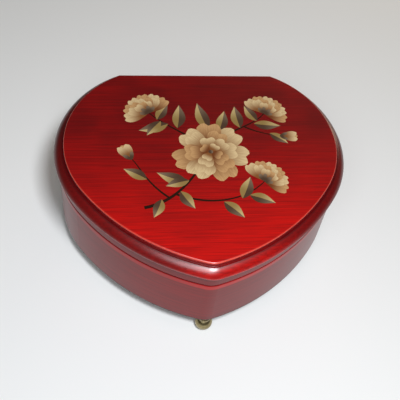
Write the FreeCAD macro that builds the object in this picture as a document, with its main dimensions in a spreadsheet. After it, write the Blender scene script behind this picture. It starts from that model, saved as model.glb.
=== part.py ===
import FreeCAD, Part
import math
import os
import re
import Sketcher

# Wind up music box: a lacquered wooden case with a rounded point in front, two full lobes at the
# sides and a flat back, a moulded hinged lid, three brass ball feet, velvet lining, and a pinned
# cylinder movement in a bay at the back that is wound with a key under the base.
# Millimetres and degrees. +X is to the right, +Z up, the point faces -Y and the feet stand on z = 0.

# Driving sizes
SIZES = (
    # Case outline, seen from above
    ("lid_width", 160.0),
    ("lid_depth", 137.5),
    ("box_height", 66.5),
    ("lobe_radius", 61.0),
    ("lobe_setback", 55.0),
    ("side_radius", 119.0),
    ("tip_radius", 14.0),
    # Case wall and base
    ("lid_overhang", 2.0),
    ("wall_thickness", 7.0),
    ("back_thickness", 8.0),
    ("wall_round", 0.9),
    ("brim_round", 1.6),
    ("base_thickness", 4.0),
    ("rabbet_width", 2.0),
    ("fit_gap", 0.1),
    # Lid
    ("rim_height", 7.5),
    ("rim_round", 0.6),
    ("panel_thickness", 9.0),
    ("panel_round", 1.0),
    ("ovolo_radius", 4.5),
    ("step_inset", 5.3),
    ("step_height", 1.5),
    ("step_round", 0.5),
    # Ball feet
    ("foot_height", 11.0),
    ("ball_radius", 4.8),
    ("ball_flat_radius", 1.4),
    ("neck_radius", 2.4),
    ("flange_radius", 3.4),
    ("flange_height", 1.4),
    ("stud_radius", 1.0),
    ("stud_length", 6.0),
    ("front_foot_inset", 3.0),
    ("rear_foot_inset", 5.0),
    ("rear_foot_spacing", 82.0),
    # Movement bay
    ("bay_width", 62.0),
    ("bay_depth", 46.0),
    ("bay_wall", 4.0),
    ("bay_height", 28.0),
    ("cover_thickness", 2.0),
    # Velvet
    ("soft_gap", 0.3),
    ("pad_thickness", 2.5),
    ("pad_round", 1.0),
    ("lining_thickness", 3.0),
    ("lining_round", 1.4),
    ("roll_radius", 4.3),
    ("roll_end_radius", 3.7),
    ("roll_length", 34.0),
    ("roll_spacing", 9.0),
    ("roll_count", 3),
    # Hinges
    ("hinge_setback", 1.6),
    ("hinge_spacing", 56.0),
    ("hinge_length", 18.0),
    ("knuckle_radius", 1.45),
    ("knuckle_gap", 0.15),
    ("leaf_width", 5.0),
    ("leaf_thickness", 0.9),
    ("hinge_pin_radius", 0.6),
    ("running_fit", 0.05),
    ("barrel_clearance", 0.35),
    ("bevel_angle", 48.0),
    ("hinge_screw_radius", 0.7),
    ("hinge_screw_head", 1.15),
    ("hinge_screw_length", 4.0),
    ("hinge_screw_spacing", 11.0),
    ("hinge_screw_set", 3.4),
    # Bedplate of the movement
    ("bed_length", 54.0),
    ("bed_width", 42.0),
    ("bed_thickness", 2.0),
    ("bed_setback", 2.25),
    ("train_setback", 21.25),
    ("arm_thickness", 1.4),
    ("arm_radius", 3.0),
    ("arm_gap", 1.0),
    ("bed_screw_radius", 1.0),
    ("bed_screw_head", 2.2),
    ("bed_screw_head_height", 1.2),
    ("bed_screw_inset", 3.0),
    # Spring barrel, mainspring and winding
    ("barrel_offset", 18.0),
    ("barrel_module", 0.5),
    ("barrel_teeth", 40),
    ("barrel_wall", 1.4),
    ("barrel_floor", 1.2),
    ("barrel_height", 8.7),
    ("barrel_lift", 0.3),
    ("barrel_cover_thickness", 0.8),
    ("barrel_cover_drop", 0.7),
    ("spring_turns", 5),
    ("spring_strip", 0.35),
    ("spring_pitch", 1.3),
    ("spring_inner_radius", 2.4),
    ("spring_end_gap", 0.3),
    ("arbor_radius", 1.5),
    ("collar_radius", 2.5),
    ("collar_height", 1.2),
    ("arbor_hole_radius", 3.2),
    ("key_wing_radius", 3.9),
    ("key_wing_spacing", 13.6),
    ("key_eye_radius", 1.7),
    ("key_thickness", 1.6),
    ("key_hub_radius", 2.5),
    ("key_floor_gap", 1.5),
    ("key_base_gap", 0.8),
    # Pinned cylinder and comb
    ("cylinder_radius", 6.5),
    ("cylinder_length", 20.0),
    ("pin_height", 0.8),
    ("pin_width", 0.5),
    ("pins_per_note", 3),
    ("note_count", 18),
    ("cylinder_arbor_radius", 1.0),
    ("pinion_teeth", 12),
    ("pinion_width", 1.6),
    ("comb_gap", 0.15),
    ("comb_margin", 0.2),
    ("comb_tooth_thickness", 0.8),
    ("comb_slot", 0.35),
    ("comb_long_tooth", 9.2),
    ("comb_short_tooth", 5.6),
    ("comb_base_length", 5.6),
    ("comb_base_thickness", 1.6),
    ("comb_screw_radius", 0.8),
    ("comb_screw_head", 1.6),
    ("comb_screw_head_height", 0.9),
    ("comb_screw_depth", 4.0),
    ("comb_screw_spacing", 12.0),
    # Train and governor
    ("train_module", 0.4),
    ("wheel_teeth", 36),
    ("wheel_width", 1.2),
    ("wheel_gap", 0.4),
    ("second_teeth", 9),
    ("second_arbor_radius", 0.8),
    ("worm_teeth", 20),
    ("worm_wheel_width", 1.2),
    ("worm_pitch_radius", 1.6),
    ("worm_core_radius", 1.1),
    ("worm_turns", 4),
    ("governor_radius", 0.6),
    ("governor_sink", 1.2),
    ("brake_radius", 1.2),
    ("brake_height", 1.4),
    ("brake_level", 16.2),
    ("fly_radius", 3.8),
    ("fly_height", 4.0),
    ("fly_level", 17.8),
    ("fly_thickness", 0.5),
    ("fly_hub_radius", 1.3),
    ("cock_level", 22.6),
    ("cock_thickness", 1.4),
    ("cock_gap", 1.6),
    ("cock_width", 4.2),
    ("cock_foot", 3.4),
    ("cock_screw_radius", 0.7),
    ("cock_screw_head", 1.3),
    ("cock_screw_head_height", 0.8),
    # Start and stop
    ("lever_thickness", 0.8),
    ("lever_level", 16.4),
    ("lever_width", 1.8),
    ("lever_nose", 6.2),
    ("lever_tail", 7.4),
    ("lever_gap", 0.3),
    ("lever_offset", 7.5),
    ("post_radius", 0.8),
    ("post_shoulder", 1.5),
    ("post_head_height", 0.7),
    ("start_pin_arm", 6.5),
    ("start_pin_radius", 1.2),
    ("start_cam_radius", 2.0),
    ("start_tip_radius", 0.8),
    ("start_cam_height", 1.6),
    ("start_travel", 4.0),
    ("bush_radius", 1.9),
    ("bush_flange_radius", 2.8),
    ("bush_flange_height", 0.8),
    ("bush_drop", 1.5),
)

# Sizes that follow from the driving ones
DERIVED = (
    ("back_y", "lid_depth / 2"),
    ("tip_y", "-lid_depth / 2"),
    ("lobe_x", "lid_width / 2 - lobe_radius"),
    ("lobe_y", "back_y - lobe_setback"),
    ("inner_inset", "lid_overhang + wall_thickness"),
    ("inner_back_y", "back_y - back_thickness"),
    ("base_top", "foot_height + base_thickness"),
    ("wall_height", "box_height - panel_thickness - rim_height - foot_height"),
    ("parting_z", "foot_height + wall_height"),
    ("panel_bottom", "parting_z + rim_height"),
    ("moulding_top", "panel_bottom + panel_thickness - step_height"),
    ("ball_centre", "sqrt(ball_radius ^ 2 - ball_flat_radius ^ 2)"),
    ("front_foot_y", "tip_y + lid_overhang + front_foot_inset"),
    ("rear_foot_y", "back_y - rear_foot_inset"),
    ("bay_front_y", "inner_back_y - bay_depth"),
    ("bay_outer_x", "bay_width / 2 + bay_wall"),
    ("wing_x", "-(bay_outer_x + lid_width / 2 - inner_inset) / 2"),
    ("cover_bottom", "base_top + bay_height"),
    ("hinge_y", "back_y - hinge_setback"),
    ("bed_top", "base_top + bed_thickness"),
    ("bed_front_y", "inner_back_y - bed_setback - bed_width"),
    ("train_y", "inner_back_y - train_setback"),
    ("barrel_x", "-barrel_offset"),
    ("barrel_pitch_radius", "barrel_module * barrel_teeth / 2"),
    ("barrel_radius", "barrel_pitch_radius + barrel_wall / 2"),
    ("barrel_bottom", "bed_top + barrel_lift"),
    ("barrel_rim", "barrel_bottom + barrel_height"),
    ("barrel_cover_bottom", "barrel_rim - barrel_cover_drop - barrel_cover_thickness"),
    ("pinion_radius", "barrel_module * pinion_teeth / 2"),
    ("axis_z", "barrel_rim + root_depth * barrel_module + pinion_radius"),
    ("pinion_x", "barrel_x + barrel_pitch_radius - pinion_width / 2"),
    ("left_arm_x", "barrel_x + barrel_radius + arm_gap"),
    ("cylinder_x", "left_arm_x + arm_thickness + arm_gap"),
    ("wheel_x", "cylinder_x + cylinder_length + wheel_gap"),
    ("right_arm_x", "wheel_x + wheel_width + arm_gap"),
    ("worm_wheel_x", "right_arm_x + arm_thickness + arm_gap"),
    ("governor_x", "worm_wheel_x + worm_wheel_width / 2"),
    ("cock_x", "worm_wheel_x + worm_wheel_width + cock_gap"),
    ("second_y", "train_y + train_module * (wheel_teeth + second_teeth) / 2"),
    ("governor_y", "second_y + train_module * worm_teeth / 2 + worm_pitch_radius"),
    ("comb_bottom", "axis_z - comb_tooth_thickness / 2"),
    ("comb_tip_y", "train_y - cylinder_radius - pin_height - comb_gap"),
    ("comb_root_y", "comb_tip_y - comb_long_tooth"),
    ("comb_end_y", "comb_root_y - comb_base_length"),
    ("comb_pitch", "(cylinder_length - 2 * comb_margin) / note_count"),
    ("comb_x", "cylinder_x + comb_margin"),
    ("cock_y", "second_y - cock_width / 2"),
    ("lever_z", "bed_top + lever_level"),
    ("lever_y", "governor_y + brake_radius + lever_gap + lever_pad + lever_width / 2"),
    ("post_x", "governor_x - lever_offset"),
    ("start_x", "post_x - start_pin_arm"),
    ("start_y", "lever_y - lever_width / 2 - lever_gap - start_cam_radius"),
    ("start_top", "panel_bottom - lining_thickness - soft_gap"),
)

# Tooth proportions in modules, and the shares of a tooth pitch taken at the root and the tip
TOOTH = (
    ("tip_height", 0.85),
    ("root_depth", 1.15),
    ("root_share", 0.52),
    ("tip_share", 0.2),
    ("lever_pad", 0.4),
)

ALONG_X = FreeCAD.Rotation(FreeCAD.Vector(1, 1, 1), 120)
ALONG_Y = FreeCAD.Rotation(FreeCAD.Vector(1, 0, 0), -90)
UPRIGHT = FreeCAD.Rotation()
DOWNWARD = FreeCAD.Rotation(FreeCAD.Vector(1, 0, 0), 180)
NAMES = {name for name, value in SIZES + TOOTH + DERIVED}
GOLDEN_SHARE = (math.sqrt(5) - 1) / 2
# Lengths that differ by less than this are the same
HAIR = 1e-4

doc = FreeCAD.newDocument("music_box")
sheet = doc.addObject("Spreadsheet::Sheet", "Sizes")
for row, (name, value) in enumerate(SIZES + TOOTH + DERIVED, start=1):
    sheet.set("A%d" % row, name)
    sheet.set("B%d" % row, "=" + value if isinstance(value, str) else str(value))
    sheet.setAlias("B%d" % row, name)
doc.recompute()
sub_parts = []


def size(name):
    """The number that a cell of the sheet holds."""
    return float(sheet.get(name))


def bind(obj, prop, formula):
    """Ties a property to a formula of sheet names."""
    obj.setExpression(prop, re.sub(r"[a-z_]+", lambda w: prefixed(w.group()), formula))


def prefixed(word):
    return "Sizes." + word if word in NAMES else word


def place(obj, at, turn=UPRIGHT):
    """Stands an object at three formulas, turned from its own axis."""
    obj.Placement = FreeCAD.Placement(FreeCAD.Vector(), turn)
    for axis, formula in zip("xyz", at):
        bind(obj, "Placement.Base." + axis, formula)
    return obj


def box(name, dims, at):
    obj = doc.addObject("Part::Box", name)
    for prop, formula in zip(("Length", "Width", "Height"), dims):
        bind(obj, prop, formula)
    return place(obj, at)


def rod(name, radius, length, at, turn=UPRIGHT):
    obj = doc.addObject("Part::Cylinder", name)
    bind(obj, "Radius", radius)
    bind(obj, "Height", length)
    return place(obj, at, turn)


def taper(name, first, last, length, at, turn=UPRIGHT):
    obj = doc.addObject("Part::Cone", name)
    bind(obj, "Radius1", first)
    bind(obj, "Radius2", last)
    bind(obj, "Height", length)
    return place(obj, at, turn)


def fuse(name, pieces):
    obj = doc.addObject("Part::MultiFuse", name)
    obj.Shapes = pieces
    return obj


def group(name, pieces):
    """Several separate solids of one kind, kept as one sub-part."""
    obj = doc.addObject("Part::Compound", name)
    obj.Links = pieces
    return obj


def cut(name, base, tools):
    obj = doc.addObject("Part::Cut", name)
    obj.Base = base
    obj.Tool = tools[0] if len(tools) == 1 else fuse(name + "_tools", tools)
    return obj


def feature(name, shape, at=("0", "0", "0"), turn=UPRIGHT):
    """A shape worked out below from the sheet, placed after it is set."""
    obj = doc.addObject("Part::Feature", name)
    obj.Shape = shape
    return place(obj, at, turn)


def sub_part(label, obj):
    obj.Label = label
    sub_parts.append(obj)
    return obj


def new_body(name):
    return doc.addObject("PartDesign::Body", name)


def new_sketch(body, name, level):
    """An empty sketch on a level plane of its body."""
    sketch = body.newObject("Sketcher::SketchObject", name)
    plane = [item for item in body.Origin.OriginFeatures if item.Role == "XY_Plane"][0]
    sketch.AttachmentSupport = [(plane, "")]
    sketch.MapMode = "FlatFace"
    bind(sketch, "AttachmentOffset.Base.z", level)
    return sketch


def constrain(sketch, kind, *args):
    return sketch.addConstraint(Sketcher.Constraint(kind, *args))


def dimension(sketch, kind, refs, formula):
    """A driving dimension of a sketch, tied to the sheet."""
    index = constrain(sketch, kind, *refs, sheet.evalExpression(formula))
    bind(sketch, "Constraints[%d]" % index, formula)


def arc(centre, radius, start, end):
    """The arc that runs counter-clockwise from one point to another."""
    first = math.atan2(start.y - centre.y, start.x - centre.x)
    last = math.atan2(end.y - centre.y, end.x - centre.x)
    if last < first:
        last += 2 * math.pi
    return Part.ArcOfCircle(Part.Circle(centre, FreeCAD.Vector(0, 0, 1), radius), first, last)


def mirrored(point):
    return FreeCAD.Vector(-point.x, point.y, 0)


def outline_curves(inset, back_inset):
    """The case outline drawn in by inset on its curves and by back_inset on its flat back."""
    lobe = FreeCAD.Vector(size("lobe_x"), size("lobe_y"), 0)
    tip = FreeCAD.Vector(0, size("tip_y") + size("tip_radius"), 0)
    lobe_radius = size("lobe_radius") - inset
    side_radius = size("side_radius") - inset
    tip_radius = size("tip_radius") - inset
    # The side arc wraps the lobe and tip circles, so its centre is as far from theirs as the radii differ
    lobe_reach = side_radius - lobe_radius
    tip_reach = side_radius - tip_radius
    span = tip.distanceToPoint(lobe)
    along = (tip - lobe).normalize()
    across = FreeCAD.Vector(along.y, -along.x, 0)
    run = (lobe_reach ** 2 - tip_reach ** 2 + span ** 2) / (2 * span)
    side = lobe + along * run + across * math.sqrt(lobe_reach ** 2 - run ** 2)
    upper = side + (lobe - side).normalize() * side_radius
    lower = side + (tip - side).normalize() * side_radius
    back_y = size("back_y") - back_inset
    corner_x = lobe.x + math.sqrt(lobe_radius ** 2 - (back_y - lobe.y) ** 2)
    corner = FreeCAD.Vector(corner_x, back_y, 0)
    return (
        Part.LineSegment(corner, mirrored(corner)),
        arc(mirrored(lobe), lobe_radius, mirrored(corner), mirrored(upper)),
        arc(mirrored(side), side_radius, mirrored(upper), mirrored(lower)),
        arc(tip, tip_radius, mirrored(lower), lower),
        arc(side, side_radius, lower, upper),
        arc(lobe, lobe_radius, upper, corner),
    )


def add_outline(sketch, inset, back_inset="0"):
    """One closed loop of the case outline, every arc tangent to the next and tied to the sheet."""
    curves = outline_curves(sheet.evalExpression(inset), sheet.evalExpression(back_inset))
    back, left_lobe, left_side, tip, right_side, right_lobe = sketch.addGeometry(list(curves), False)
    origin = (-1, 1)
    upright_axis = -2
    constrain(sketch, "Coincident", back, 2, left_lobe, 1)
    constrain(sketch, "Coincident", right_lobe, 2, back, 1)
    for curve, following in ((left_lobe, left_side), (left_side, tip), (tip, right_side), (right_side, right_lobe)):
        constrain(sketch, "Tangent", curve, 2, following, 1)
    constrain(sketch, "Horizontal", back)
    constrain(sketch, "Equal", left_lobe, right_lobe)
    constrain(sketch, "Equal", left_side, right_side)
    constrain(sketch, "Symmetric", left_lobe, 3, right_lobe, 3, upright_axis)
    constrain(sketch, "PointOnObject", tip, 3, upright_axis)
    dimension(sketch, "Radius", (right_lobe,), "lobe_radius - (%s)" % inset)
    dimension(sketch, "Radius", (right_side,), "side_radius - (%s)" % inset)
    dimension(sketch, "Radius", (tip,), "tip_radius - (%s)" % inset)
    dimension(sketch, "DistanceX", (*origin, right_lobe, 3), "lobe_x")
    dimension(sketch, "DistanceY", (*origin, right_lobe, 3), "lobe_y")
    dimension(sketch, "DistanceY", (tip, 3, *origin), "-tip_y - tip_radius")
    dimension(sketch, "DistanceY", (*origin, back, 1), "back_y - (%s)" % back_inset)


def add_bay(sketch, half_width, front, back):
    """A rectangle about the middle line, behind the origin."""
    x = sheet.evalExpression(half_width)
    y0 = sheet.evalExpression(front)
    y1 = sheet.evalExpression(back)
    corners = [FreeCAD.Vector(*xy, 0) for xy in ((-x, y0), (x, y0), (x, y1), (-x, y1))]
    sides = [Part.LineSegment(a, b) for a, b in zip(corners, corners[1:] + corners[:1])]
    near, right, far, left = sketch.addGeometry(sides, False)
    for side, following in ((near, right), (right, far), (far, left), (left, near)):
        constrain(sketch, "Coincident", side, 2, following, 1)
    constrain(sketch, "Symmetric", near, 1, near, 2, -2)
    constrain(sketch, "Horizontal", far)
    constrain(sketch, "Vertical", right)
    constrain(sketch, "Vertical", left)
    dimension(sketch, "DistanceX", (near, 1, near, 2), "2 * (%s)" % half_width)
    dimension(sketch, "DistanceY", (-1, 1, near, 1), front)
    dimension(sketch, "DistanceY", (-1, 1, far, 1), back)


def pad(body, sketch, length):
    obj = body.newObject("PartDesign::Pad", sketch.Name + "_pad")
    obj.Profile = sketch
    bind(obj, "Length", length)
    doc.recompute()
    return obj


def pocket_up(body, sketch, length):
    """Removes what stands over a sketch, up to a height."""
    before = body.Shape.Volume
    obj = body.newObject("PartDesign::Pocket", sketch.Name + "_pocket")
    obj.Profile = sketch
    obj.Reversed = True
    bind(obj, "Length", length)
    doc.recompute()
    if body.Shape.Volume >= before:
        raise RuntimeError("nothing was cut by " + obj.Name)
    return obj


def round_edges(body, tip, name, radius, wanted):
    """A fillet on those edges of a body's last feature that pass a test."""
    chosen = ["Edge%d" % i for i, edge in enumerate(tip.Shape.Edges, start=1) if wanted(edge)]
    obj = body.newObject("PartDesign::Fillet", name)
    obj.Base = (tip, chosen)
    bind(obj, "Radius", radius)
    doc.recompute()
    return obj


def level_at(edge, level):
    return abs(edge.BoundBox.ZMin - level) + abs(edge.BoundBox.ZMax - level) < HAIR


def outer_arc(edge, inset):
    """Whether an edge is an arc of the outline that is drawn in by inset."""
    radii = [size(name) - inset for name in ("lobe_radius", "side_radius", "tip_radius")]
    return edge.Curve.TypeId == "Part::GeomCircle" and min(abs(edge.Curve.Radius - r) for r in radii) < HAIR


def back_line(edge, inset):
    """Whether an edge is the flat back of the outline that is drawn in by inset."""
    return abs(edge.BoundBox.YMin - size("back_y") + inset) + edge.BoundBox.YLength < HAIR


# Places of the two hinges and of the two screws in each leaf
HINGES = ("-hinge_spacing / 2", "hinge_spacing / 2")
LEAF_SCREWS = ("-hinge_screw_spacing / 2", "hinge_screw_spacing / 2")
# The case leaf lies under the parting plane and the lid leaf over it
CASE_SIDE = {"name": "case", "leaf_z": "parting_z - leaf_thickness", "turn": DOWNWARD, "bevel": "-bevel_angle"}
LID_SIDE = {"name": "lid", "leaf_z": "parting_z", "turn": UPRIGHT, "bevel": "bevel_angle - 90"}


def hinge_pockets(side):
    """What the hinges take out of the wood: leaf beds, barrel grooves, screw holes and the back bevel."""
    tools = []
    bed_length = "hinge_length + 2 * fit_gap"
    for n, x in enumerate(HINGES):
        tag = "%s_hinge_%d" % (side["name"], n)
        start = "%s - hinge_length / 2 - fit_gap" % x
        leaf_dims = (bed_length, "leaf_width + fit_gap", "leaf_thickness")
        tools.append(box(tag + "_bed", leaf_dims, (start, "hinge_y - leaf_width - fit_gap", side["leaf_z"])))
        groove = "knuckle_radius + barrel_clearance"
        tools.append(rod(tag + "_groove", groove, bed_length, (start, "hinge_y", "parting_z"), ALONG_X))
        for m, dx in enumerate(LEAF_SCREWS):
            at = ("%s + (%s)" % (x, dx), "hinge_y - hinge_screw_set", "parting_z")
            depth = "leaf_thickness + hinge_screw_length"
            hole = rod("%s_hole_%d" % (tag, m), "hinge_screw_radius + running_fit", depth, at, side["turn"])
            tools.append(hole)
    bevel = box(
        side["name"] + "_bevel",
        ("lid_width", "2 * back_thickness", "2 * back_thickness"),
        ("-lid_width / 2", "hinge_y", "parting_z"),
    )
    bevel.Placement.Rotation = FreeCAD.Rotation(FreeCAD.Vector(1, 0, 0), 1)
    bind(bevel, "Placement.Rotation.Angle", side["bevel"])
    tools.append(bevel)
    return tools


def build_case_wall():
    body = new_body("wall_blank")
    sketch = new_sketch(body, "wall_plan", "foot_height")
    add_outline(sketch, "lid_overhang")
    add_outline(sketch, "inner_inset", "back_thickness")
    tip = pad(body, sketch, "wall_height")
    rabbet = new_sketch(body, "rabbet_plan", "foot_height")
    add_outline(rabbet, "inner_inset - rabbet_width", "back_thickness - rabbet_width")
    tip = pocket_up(body, rabbet, "base_thickness")
    overhang = size("lid_overhang")
    for name, level in (("wall_round", "foot_height"), ("brim_round", "parting_z")):
        z = size(level)
        tip = round_edges(
            body, tip, name + "ing", name, lambda edge: level_at(edge, z) and outer_arc(edge, overhang)
        )
    tools = hinge_pockets(CASE_SIDE)
    for name, x, y in FEET:
        tools.append(rod(name + "_hole", "stud_radius + running_fit", "stud_length", (x, y, "foot_height")))
    sub_part("case_wall", cut("case_wall", body, tools))


# Feet: one under the point and one under each back corner
FEET = (
    ("foot_front", "0", "front_foot_y"),
    ("foot_left", "-rear_foot_spacing / 2", "rear_foot_y"),
    ("foot_right", "rear_foot_spacing / 2", "rear_foot_y"),
)


def build_feet():
    for name, x, y in FEET:
        ball = doc.addObject("Part::Sphere", name + "_ball")
        bind(ball, "Radius", "ball_radius")
        bind(ball, "Angle1", "-asin(ball_centre / ball_radius)")
        place(ball, (x, y, "ball_centre"))
        neck = rod(name + "_neck", "neck_radius", "foot_height - ball_centre", (x, y, "ball_centre"))
        flange = rod(name + "_flange", "flange_radius", "flange_height", (x, y, "foot_height - flange_height"))
        stud = rod(name + "_stud", "stud_radius", "stud_length", (x, y, "foot_height"))
        sub_part(name, fuse(name, [ball, neck, flange, stud]))


# Screws that hold the bedplate down through the base panel
BED_SCREWS = (
    ("-bed_length / 2 + bed_screw_inset", "bed_front_y + bed_screw_inset"),
    ("bed_length / 2 - bed_screw_inset", "bed_front_y + bed_screw_inset"),
    ("-bed_length / 2 + bed_screw_inset", "bed_front_y + bed_width - bed_screw_inset"),
)


def build_base_panel():
    body = new_body("base_blank")
    sketch = new_sketch(body, "base_plan", "foot_height")
    inset = "inner_inset - rabbet_width + fit_gap"
    add_outline(sketch, inset, "back_thickness - rabbet_width + fit_gap")
    pad(body, sketch, "base_thickness")
    tools = [rod("arbor_way", "arbor_hole_radius", "base_thickness", ("barrel_x", "train_y", "foot_height"))]
    for n, (x, y) in enumerate(BED_SCREWS):
        tools.append(rod("bed_way_%d" % n, "bed_screw_radius + fit_gap", "base_thickness", (x, y, "foot_height")))
        head = "bed_screw_head + fit_gap"
        tools.append(rod("bed_sink_%d" % n, head, "bed_screw_head_height", (x, y, "foot_height")))
    sub_part("base_panel", cut("base_panel", body, tools))


def build_lid_panel():
    body = new_body("lid_panel")
    sketch = new_sketch(body, "panel_plan", "panel_bottom")
    add_outline(sketch, "0")
    tip = pad(body, sketch, "panel_thickness - step_height")
    ledge = size("moulding_top")
    tip = round_edges(
        body,
        tip,
        "ovolo",
        "ovolo_radius",
        lambda edge: level_at(edge, ledge) and (outer_arc(edge, 0) or back_line(edge, 0)),
    )
    low = size("panel_bottom")
    tip = round_edges(
        body, tip, "panel_rounding", "panel_round", lambda edge: level_at(edge, low) and outer_arc(edge, 0)
    )
    top = new_sketch(body, "top_plan", "moulding_top")
    add_outline(top, "step_inset", "step_inset")
    tip = pad(body, top, "step_height")
    crown = ledge + size("step_height")
    inset = size("step_inset")
    round_edges(
        body,
        tip,
        "top_rounding",
        "step_round",
        lambda edge: level_at(edge, crown) and (outer_arc(edge, inset) or back_line(edge, inset)),
    )
    sub_part("lid_panel", body)


def build_lid_rim():
    body = new_body("rim_blank")
    sketch = new_sketch(body, "rim_plan", "parting_z")
    add_outline(sketch, "lid_overhang")
    add_outline(sketch, "inner_inset", "back_thickness")
    tip = pad(body, sketch, "rim_height")
    low = size("parting_z")
    overhang = size("lid_overhang")
    round_edges(
        body, tip, "rim_rounding", "rim_round", lambda edge: level_at(edge, low) and outer_arc(edge, overhang)
    )
    sub_part("lid_rim", cut("lid_rim", body, hinge_pockets(LID_SIDE)))


def build_lid_lining():
    """Velvet pad glued under the lid panel, its lower edges drawn in."""
    body = new_body("lid_lining")
    sketch = new_sketch(body, "lining_plan", "panel_bottom - lining_thickness")
    add_outline(sketch, "inner_inset + soft_gap", "back_thickness + soft_gap")
    tip = pad(body, sketch, "lining_thickness")
    low = size("panel_bottom") - size("lining_thickness")
    round_edges(body, tip, "lining_rounding", "lining_round", lambda edge: level_at(edge, low))
    sub_part("lid_lining", body)


def build_floor_pad():
    """Velvet pad on the base panel, round three sides of the movement bay."""
    body = new_body("floor_pad")
    sketch = new_sketch(body, "pad_plan", "base_top")
    add_outline(sketch, "inner_inset + soft_gap", "back_thickness + soft_gap")
    pad(body, sketch, "pad_thickness")
    bay = new_sketch(body, "pad_bay_plan", "base_top")
    add_bay(bay, "bay_outer_x + soft_gap", "bay_front_y - bay_wall - soft_gap", "back_y")
    tip = pocket_up(body, bay, "pad_thickness")
    top = size("base_top") + size("pad_thickness")
    round_edges(body, tip, "pad_rounding", "pad_round", lambda edge: level_at(edge, top))
    sub_part("floor_pad", body)


def build_ring_rolls():
    """Stuffed velvet rolls in the left wing, fuller in the middle than at their rounded ends."""
    half = size("roll_length") / 2
    full = size("roll_radius")
    end = size("roll_end_radius")
    cap = end / 2
    corner = math.sqrt(0.5)
    profile = Part.Wire([
        Part.LineSegment(FreeCAD.Vector(0, -half, 0), FreeCAD.Vector(end - cap, -half, 0)).toShape(),
        Part.Arc(
            FreeCAD.Vector(end - cap, -half, 0),
            FreeCAD.Vector(end - cap + cap * corner, -half + cap - cap * corner, 0),
            FreeCAD.Vector(end, -half + cap, 0),
        ).toShape(),
        Part.Arc(
            FreeCAD.Vector(end, -half + cap, 0),
            FreeCAD.Vector(full, 0, 0),
            FreeCAD.Vector(end, half - cap, 0),
        ).toShape(),
        Part.Arc(
            FreeCAD.Vector(end, half - cap, 0),
            FreeCAD.Vector(end - cap + cap * corner, half - cap + cap * corner, 0),
            FreeCAD.Vector(end - cap, half, 0),
        ).toShape(),
        Part.LineSegment(FreeCAD.Vector(end - cap, half, 0), FreeCAD.Vector(0, half, 0)).toShape(),
        Part.LineSegment(FreeCAD.Vector(0, half, 0), FreeCAD.Vector(0, -half, 0)).toShape(),
    ])
    roll = Part.Face(profile).revolve(FreeCAD.Vector(), FreeCAD.Vector(0, 1, 0), 360)
    rolls = []
    for n in range(int(size("roll_count"))):
        x = "wing_x + (%d - (roll_count - 1) / 2) * roll_spacing" % n
        z = "base_top + pad_thickness + soft_gap + roll_radius"
        rolls.append(feature("ring_roll_%d" % n, roll, (x, "lobe_y", z)))
    sub_part("ring_rolls", group("ring_rolls", rolls))


def build_bay():
    """Three partitions that close the movement in against the back wall, and the clear cover over them."""
    front = (("2 * bay_outer_x"), "bay_wall", "bay_height")
    at = ("-bay_outer_x", "bay_front_y - bay_wall", "base_top")
    sub_part("bay_front", box("bay_front", front, at))
    side = ("bay_wall", "bay_depth", "bay_height")
    sub_part("bay_left", box("bay_left", side, ("-bay_outer_x", "bay_front_y", "base_top")))
    sub_part("bay_right", box("bay_right", side, ("bay_width / 2", "bay_front_y", "base_top")))
    sheet_dims = ("2 * bay_outer_x", "bay_depth + bay_wall", "cover_thickness")
    plate = box("cover_blank", sheet_dims, ("-bay_outer_x", "bay_front_y - bay_wall", "cover_bottom"))
    way = rod("bush_way", "bush_radius + running_fit", "cover_thickness", ("start_x", "start_y", "cover_bottom"))
    sub_part("movement_cover", cut("movement_cover", plate, [way]))


def hinge_leaf(side, n, x, outer):
    """One leaf with its knuckles: the case leaf has the two outer knuckles, the lid leaf the middle one."""
    tag = "%s_leaf_%d" % (side["name"], n)
    third = "hinge_length / 3"
    plate = box(
        tag + "_plate",
        ("hinge_length", "leaf_width", "leaf_thickness"),
        ("%s - hinge_length / 2" % x, "hinge_y - leaf_width", side["leaf_z"]),
    )
    knuckle_starts = ("-hinge_length / 2", "hinge_length / 6 + knuckle_gap") if outer else ("-hinge_length / 6",)
    gap_starts = ("-hinge_length / 6",) if outer else ("-hinge_length / 2", "hinge_length / 6 - knuckle_gap")
    width = third + " - knuckle_gap" if outer else third
    knuckles = []
    for m, dx in enumerate(knuckle_starts):
        at = ("%s + (%s)" % (x, dx), "hinge_y", "parting_z")
        knuckles.append(rod("%s_knuckle_%d" % (tag, m), "knuckle_radius", width, at, ALONG_X))
    ways = []
    for m, dx in enumerate(gap_starts):
        reach = "knuckle_radius + knuckle_gap"
        at = ("%s + (%s) - knuckle_gap" % (x, dx), "hinge_y - (%s)" % reach, "parting_z - leaf_thickness")
        dims = (third + " + 2 * knuckle_gap", "2 * (%s)" % reach, "2 * leaf_thickness")
        ways.append(box("%s_way_%d" % (tag, m), dims, at))
    bore_at = ("%s - hinge_length / 2" % x, "hinge_y", "parting_z")
    bore = rod(tag + "_bore", "hinge_pin_radius + running_fit", "hinge_length", bore_at, ALONG_X)
    sinks = []
    for m, dx in enumerate(LEAF_SCREWS):
        at = ("%s + (%s)" % (x, dx), "hinge_y - hinge_screw_set", "parting_z")
        first = "hinge_screw_head + running_fit"
        last = "hinge_screw_radius + running_fit"
        sinks.append(taper("%s_sink_%d" % (tag, m), first, last, "leaf_thickness", at, side["turn"]))
    solid = fuse(tag + "_solid", [cut(tag + "_trimmed", plate, ways)] + knuckles)
    return cut(tag, solid, [bore] + sinks)


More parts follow.
